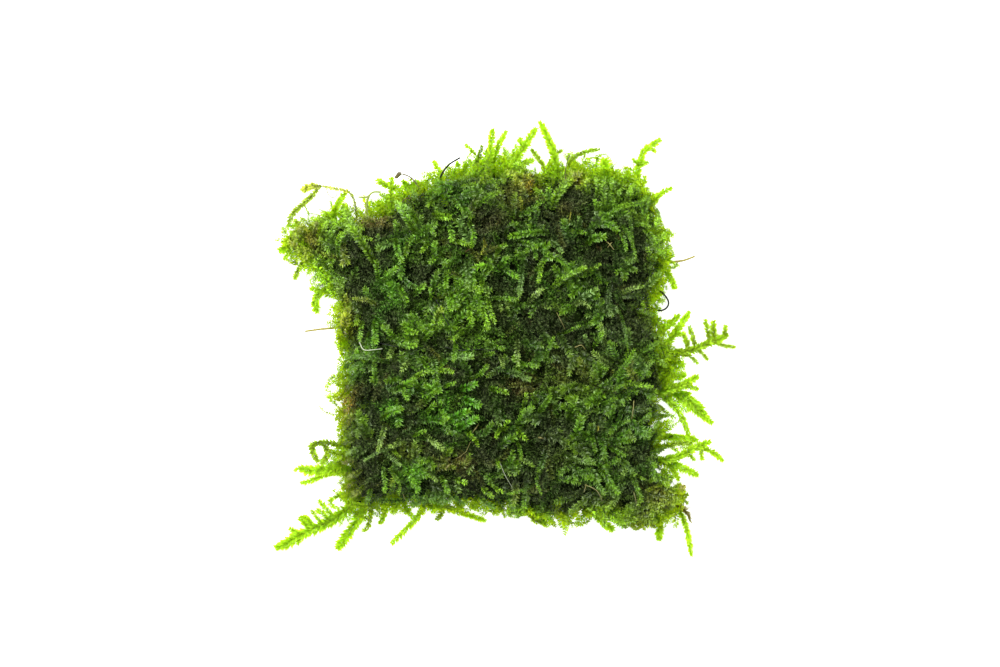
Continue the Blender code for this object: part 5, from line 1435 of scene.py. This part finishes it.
def grow_strands(strands_of):
    """The pieces with no leaves, given as the fronds are."""
    for name, slot, *strands in strands_of:
        growth = Growth(0)
        for width, *route in strands:
            spine = curve_through([place(*point) for point in route], STRAND_POINTS)[None]
            growth.stems(spine, UP[None], np.array([width * MM * BARE_BREADTH / 2]),
                         lambda points, shoot, share: np.ones((len(points), 3)),
                         STRAND_SIDES, every=1, tip=STRAND_TIP)
        growth.piece(f"{name}_bare", own_or_slot(STRAND_FINISHES, name, slot), slot, name)


grow_strands([
    ("dark_strand", "dark_strand",
     (0.42, (439.5, 196, 6), (439.5, 184, 9.5), (441, 176, 11.5), (445, 169, 12), (451, 163, 11.6),
      (460, 157.7, 10.6))),
    ("dark_loop", "dark_strand",
     (0.38, (643, 286, 5), (653, 288.5, 7), (661, 292, 8), (666.5, 297.5, 8.4), (668.6, 303.5, 8.4),
      (665.5, 308.8, 8), (659, 310.6, 7.4), (652, 308, 6.6), (640, 301, 5))),
    ("straw_stick", "dry_moss",
     (0.5, (344, 326.5, 3), (334, 328, 3), (320, 329.3, 2.4), (305.5, 331.3, 1.6))),
    ("curled_stem", "dry_moss",
     (0.5, (367.5, 224, 7), (366.5, 206, 7.6), (368.5, 197, 8), (373, 192.3, 8), (380, 192, 7.6)),
     (0.45, (369, 196.5, 8), (364, 197.3, 7.8), (358.5, 197, 7.4))),
    ("capsule_stalk", "dry_moss",
     (0.32, (424, 194, 9), (413, 179.5, 9.6), (407, 175.5, 9.8), (402, 174, 9.6), (398.5, 174.8, 9.2)),
     (0.9, (399.5, 173.5, 9.3), (396, 177.5, 8.9))),
    ("right_thin_stem", "dry_moss",
     (0.5, (654, 263.5, 6), (672, 262, 6), (684, 260.3, 5.6), (694.5, 256.5, 5))),
])

# ----------------------------------------------------------------------
# The loose fibres: pale hairs, straws, bits of brown stem and dark threads that have blown onto the mat
# or been left on it by dead shoots. They lie caught among the tips of the shoots.

WHITE, STRAW = colour(216, 226, 190), colour(150, 146, 84)
STALK, THREAD = colour(96, 72, 40), colour(20, 26, 16)
FIBRE_LIFTS, FIBRE_LOWEST = (0.0006, 0.0022, 0.0008), 0.0090
FIBRE_SIDES, FIBRE_TIP, FIBRE_RING = 5, 0.7, 0.0010
FIBRE_BREADTH = 0.34  # its radius, as a share of the width that shows
# Each fibre: its width in pixels, its tint, and its route by column and row.
FIBRES = [
    (1.5, WHITE, (361, 342), (363, 346), (365, 349), (369, 350), (375, 349.5), (384, 348.5)),
    (1.3, STRAW, (584, 483), (590, 485), (596, 489), (600, 496), (601, 499)),
    (1.2, STRAW, (583, 490), (584, 486), (585, 482)), (0.9, STRAW, (632, 490), (634, 498), (635, 505)),
    (1.0, STRAW, (402, 486), (405, 495), (407, 500)), (0.7, WHITE, (500, 461), (505, 473), (513, 487)),
    (0.9, STRAW, (556, 313), (560, 321), (564, 329)), (1.8, STRAW, (479, 423), (476, 427), (473, 431)),
    (2.2, STRAW, (447, 466), (449, 464), (451, 462)),
    (0.9, STRAW, (456, 457), (460, 455), (465, 451), (467, 449), (471, 440)),
    (1.6, STALK, (402, 204), (406, 200), (412, 199)), (1.6, STRAW, (632, 400), (631, 409), (630, 418)),
    (1.8, STALK, (466, 253), (469, 251), (471, 250)), (1.8, STRAW, (605, 243), (608, 246), (612, 251)),
    (1.6, STRAW, (610, 244), (608, 246), (606, 249)), (2.0, YELLOW, (597, 425), (597, 428), (596, 430)),
    (1.4, YELLOW, (570, 214), (569, 219), (568, 225)), (2.4, STRAW, (538, 436), (540, 436), (543, 437)),
    (1.8, STRAW, (574, 347), (580, 345), (584, 349)),
    (1.5, THREAD, (437, 300), (446, 319), (453, 331), (457, 342), (465, 350)),
    (1.3, THREAD, (378, 342), (396, 346), (408, 345), (424, 348)),
    (1.3, THREAD, (446, 347), (462, 350), (480, 349), (498, 351)),
    (0.9, THREAD, (658, 318), (657, 323), (654, 328)),
    (1.3, STALK, (570, 155), (567, 162), (565, 172), (565, 181)),
    (0.9, STRAW, (692, 506.5), (686, 507), (681, 507)),
    (1.7, STRAW, (327, 189), (329, 195), (333, 198), (337, 196), (336, 190)),
    (0.9, STRAW, (404, 176), (410, 179), (416, 181)), (1.2, THREAD, (333, 377), (337, 378), (341, 376)),
]


def fibre_finish():
    finish = Finish("loose_fibre")
    rings, grain = finish.noise(FIBRE_RING), finish.noise(BARK_GRAIN)
    return finish.wear(finish.node("ShaderNodeBsdfPrincipled", {}, {
        "Base Color": finish.mix(1.0, finish.mark("tint", "Color"), 0.6 + rings * 0.6, "MULTIPLY"),
        "Roughness": 0.30 + grain * 0.25, "Normal": finish.bump(grain, BARK_RELIEF)}))


fibres = Growth(0)
for width, tint, *route in FIBRES:
    fibres.stems(laid_on_mat([route], FIBRE_LIFTS, FIBRE_LOWEST), UP[None],
                 np.array([width * PIXEL * FIBRE_BREADTH]),
                 lambda points, shoot, share: np.tile(tint, (len(points), 1)),
                 FIBRE_SIDES, every=1, tip=FIBRE_TIP)
fibres.piece("loose_fibres", fibre_finish(), "dry_moss", "moss_mat")

# ----------------------------------------------------------------------
# The light table that the clump lies on, the soft lights over it, and the camera that looks straight
# down on it. None of them is part of the clump.

HALF_TABLE = 3.0
table = bpy.data.objects.new("light_table", bpy.data.meshes.new("light_table"))
table.data.from_pydata(
    [(x * HALF_TABLE, y * HALF_TABLE, 0) for x, y in ((-1, -1), (1, -1), (1, 1), (-1, 1))],
    [], [(0, 1, 2, 3)])
bpy.context.scene.collection.objects.link(table)
white = Finish("white_glass")
table.data.materials.append(white.wear(white.node("ShaderNodeBsdfPrincipled", {}, {
    "Base Color": (0.9, 0.9, 0.9, 1), "Roughness": 0.6, "Emission Color": (1, 1, 1, 1),
    "Emission Strength": 1.0})))


def soft_light(name, spot, size, power):
    """A round lamp at a spot, turned to the clump."""
    lamp = bpy.data.lights.new(name, "AREA")
    lamp.shape, lamp.size, lamp.energy = "DISK", size, power
    held = bpy.data.objects.new(name, lamp)
    held.location = spot
    held.rotation_euler = (-Vector(spot)).to_track_quat("-Z", "Y").to_euler()
    bpy.context.scene.collection.objects.link(held)


soft_light("overhead", spot=(-0.25, 0.30, 0.75), size=0.30, power=10.0)
soft_light("fill", spot=(0.6, -0.5, 0.7), size=0.6, power=2.0)
world = bpy.data.worlds.new("pale_room")
world.use_nodes = True
world.node_tree.nodes["Background"].inputs["Color"].default_value = (1, 1, 1, 1)
world.node_tree.nodes["Background"].inputs["Strength"].default_value = 0.25
bpy.context.scene.world = world
bpy.context.scene.view_settings.view_transform = "Standard"

LENS, SENSOR, FRAME_COLUMNS, FRAME_ROWS = 100, 36, 1000, 667
lens = bpy.data.cameras.new("camera")
lens.lens, lens.sensor_width, lens.clip_start = LENS, SENSOR, 0.01
camera = bpy.data.objects.new("camera", lens)
camera.location = (
    (FRAME_COLUMNS / 2 - ORIGIN_COLUMN) * PIXEL, (ORIGIN_ROW - FRAME_ROWS / 2) * PIXEL,
    SCALE_HEIGHT + VIEW_DISTANCE)
bpy.context.scene.collection.objects.link(camera)
bpy.context.scene.camera = camera
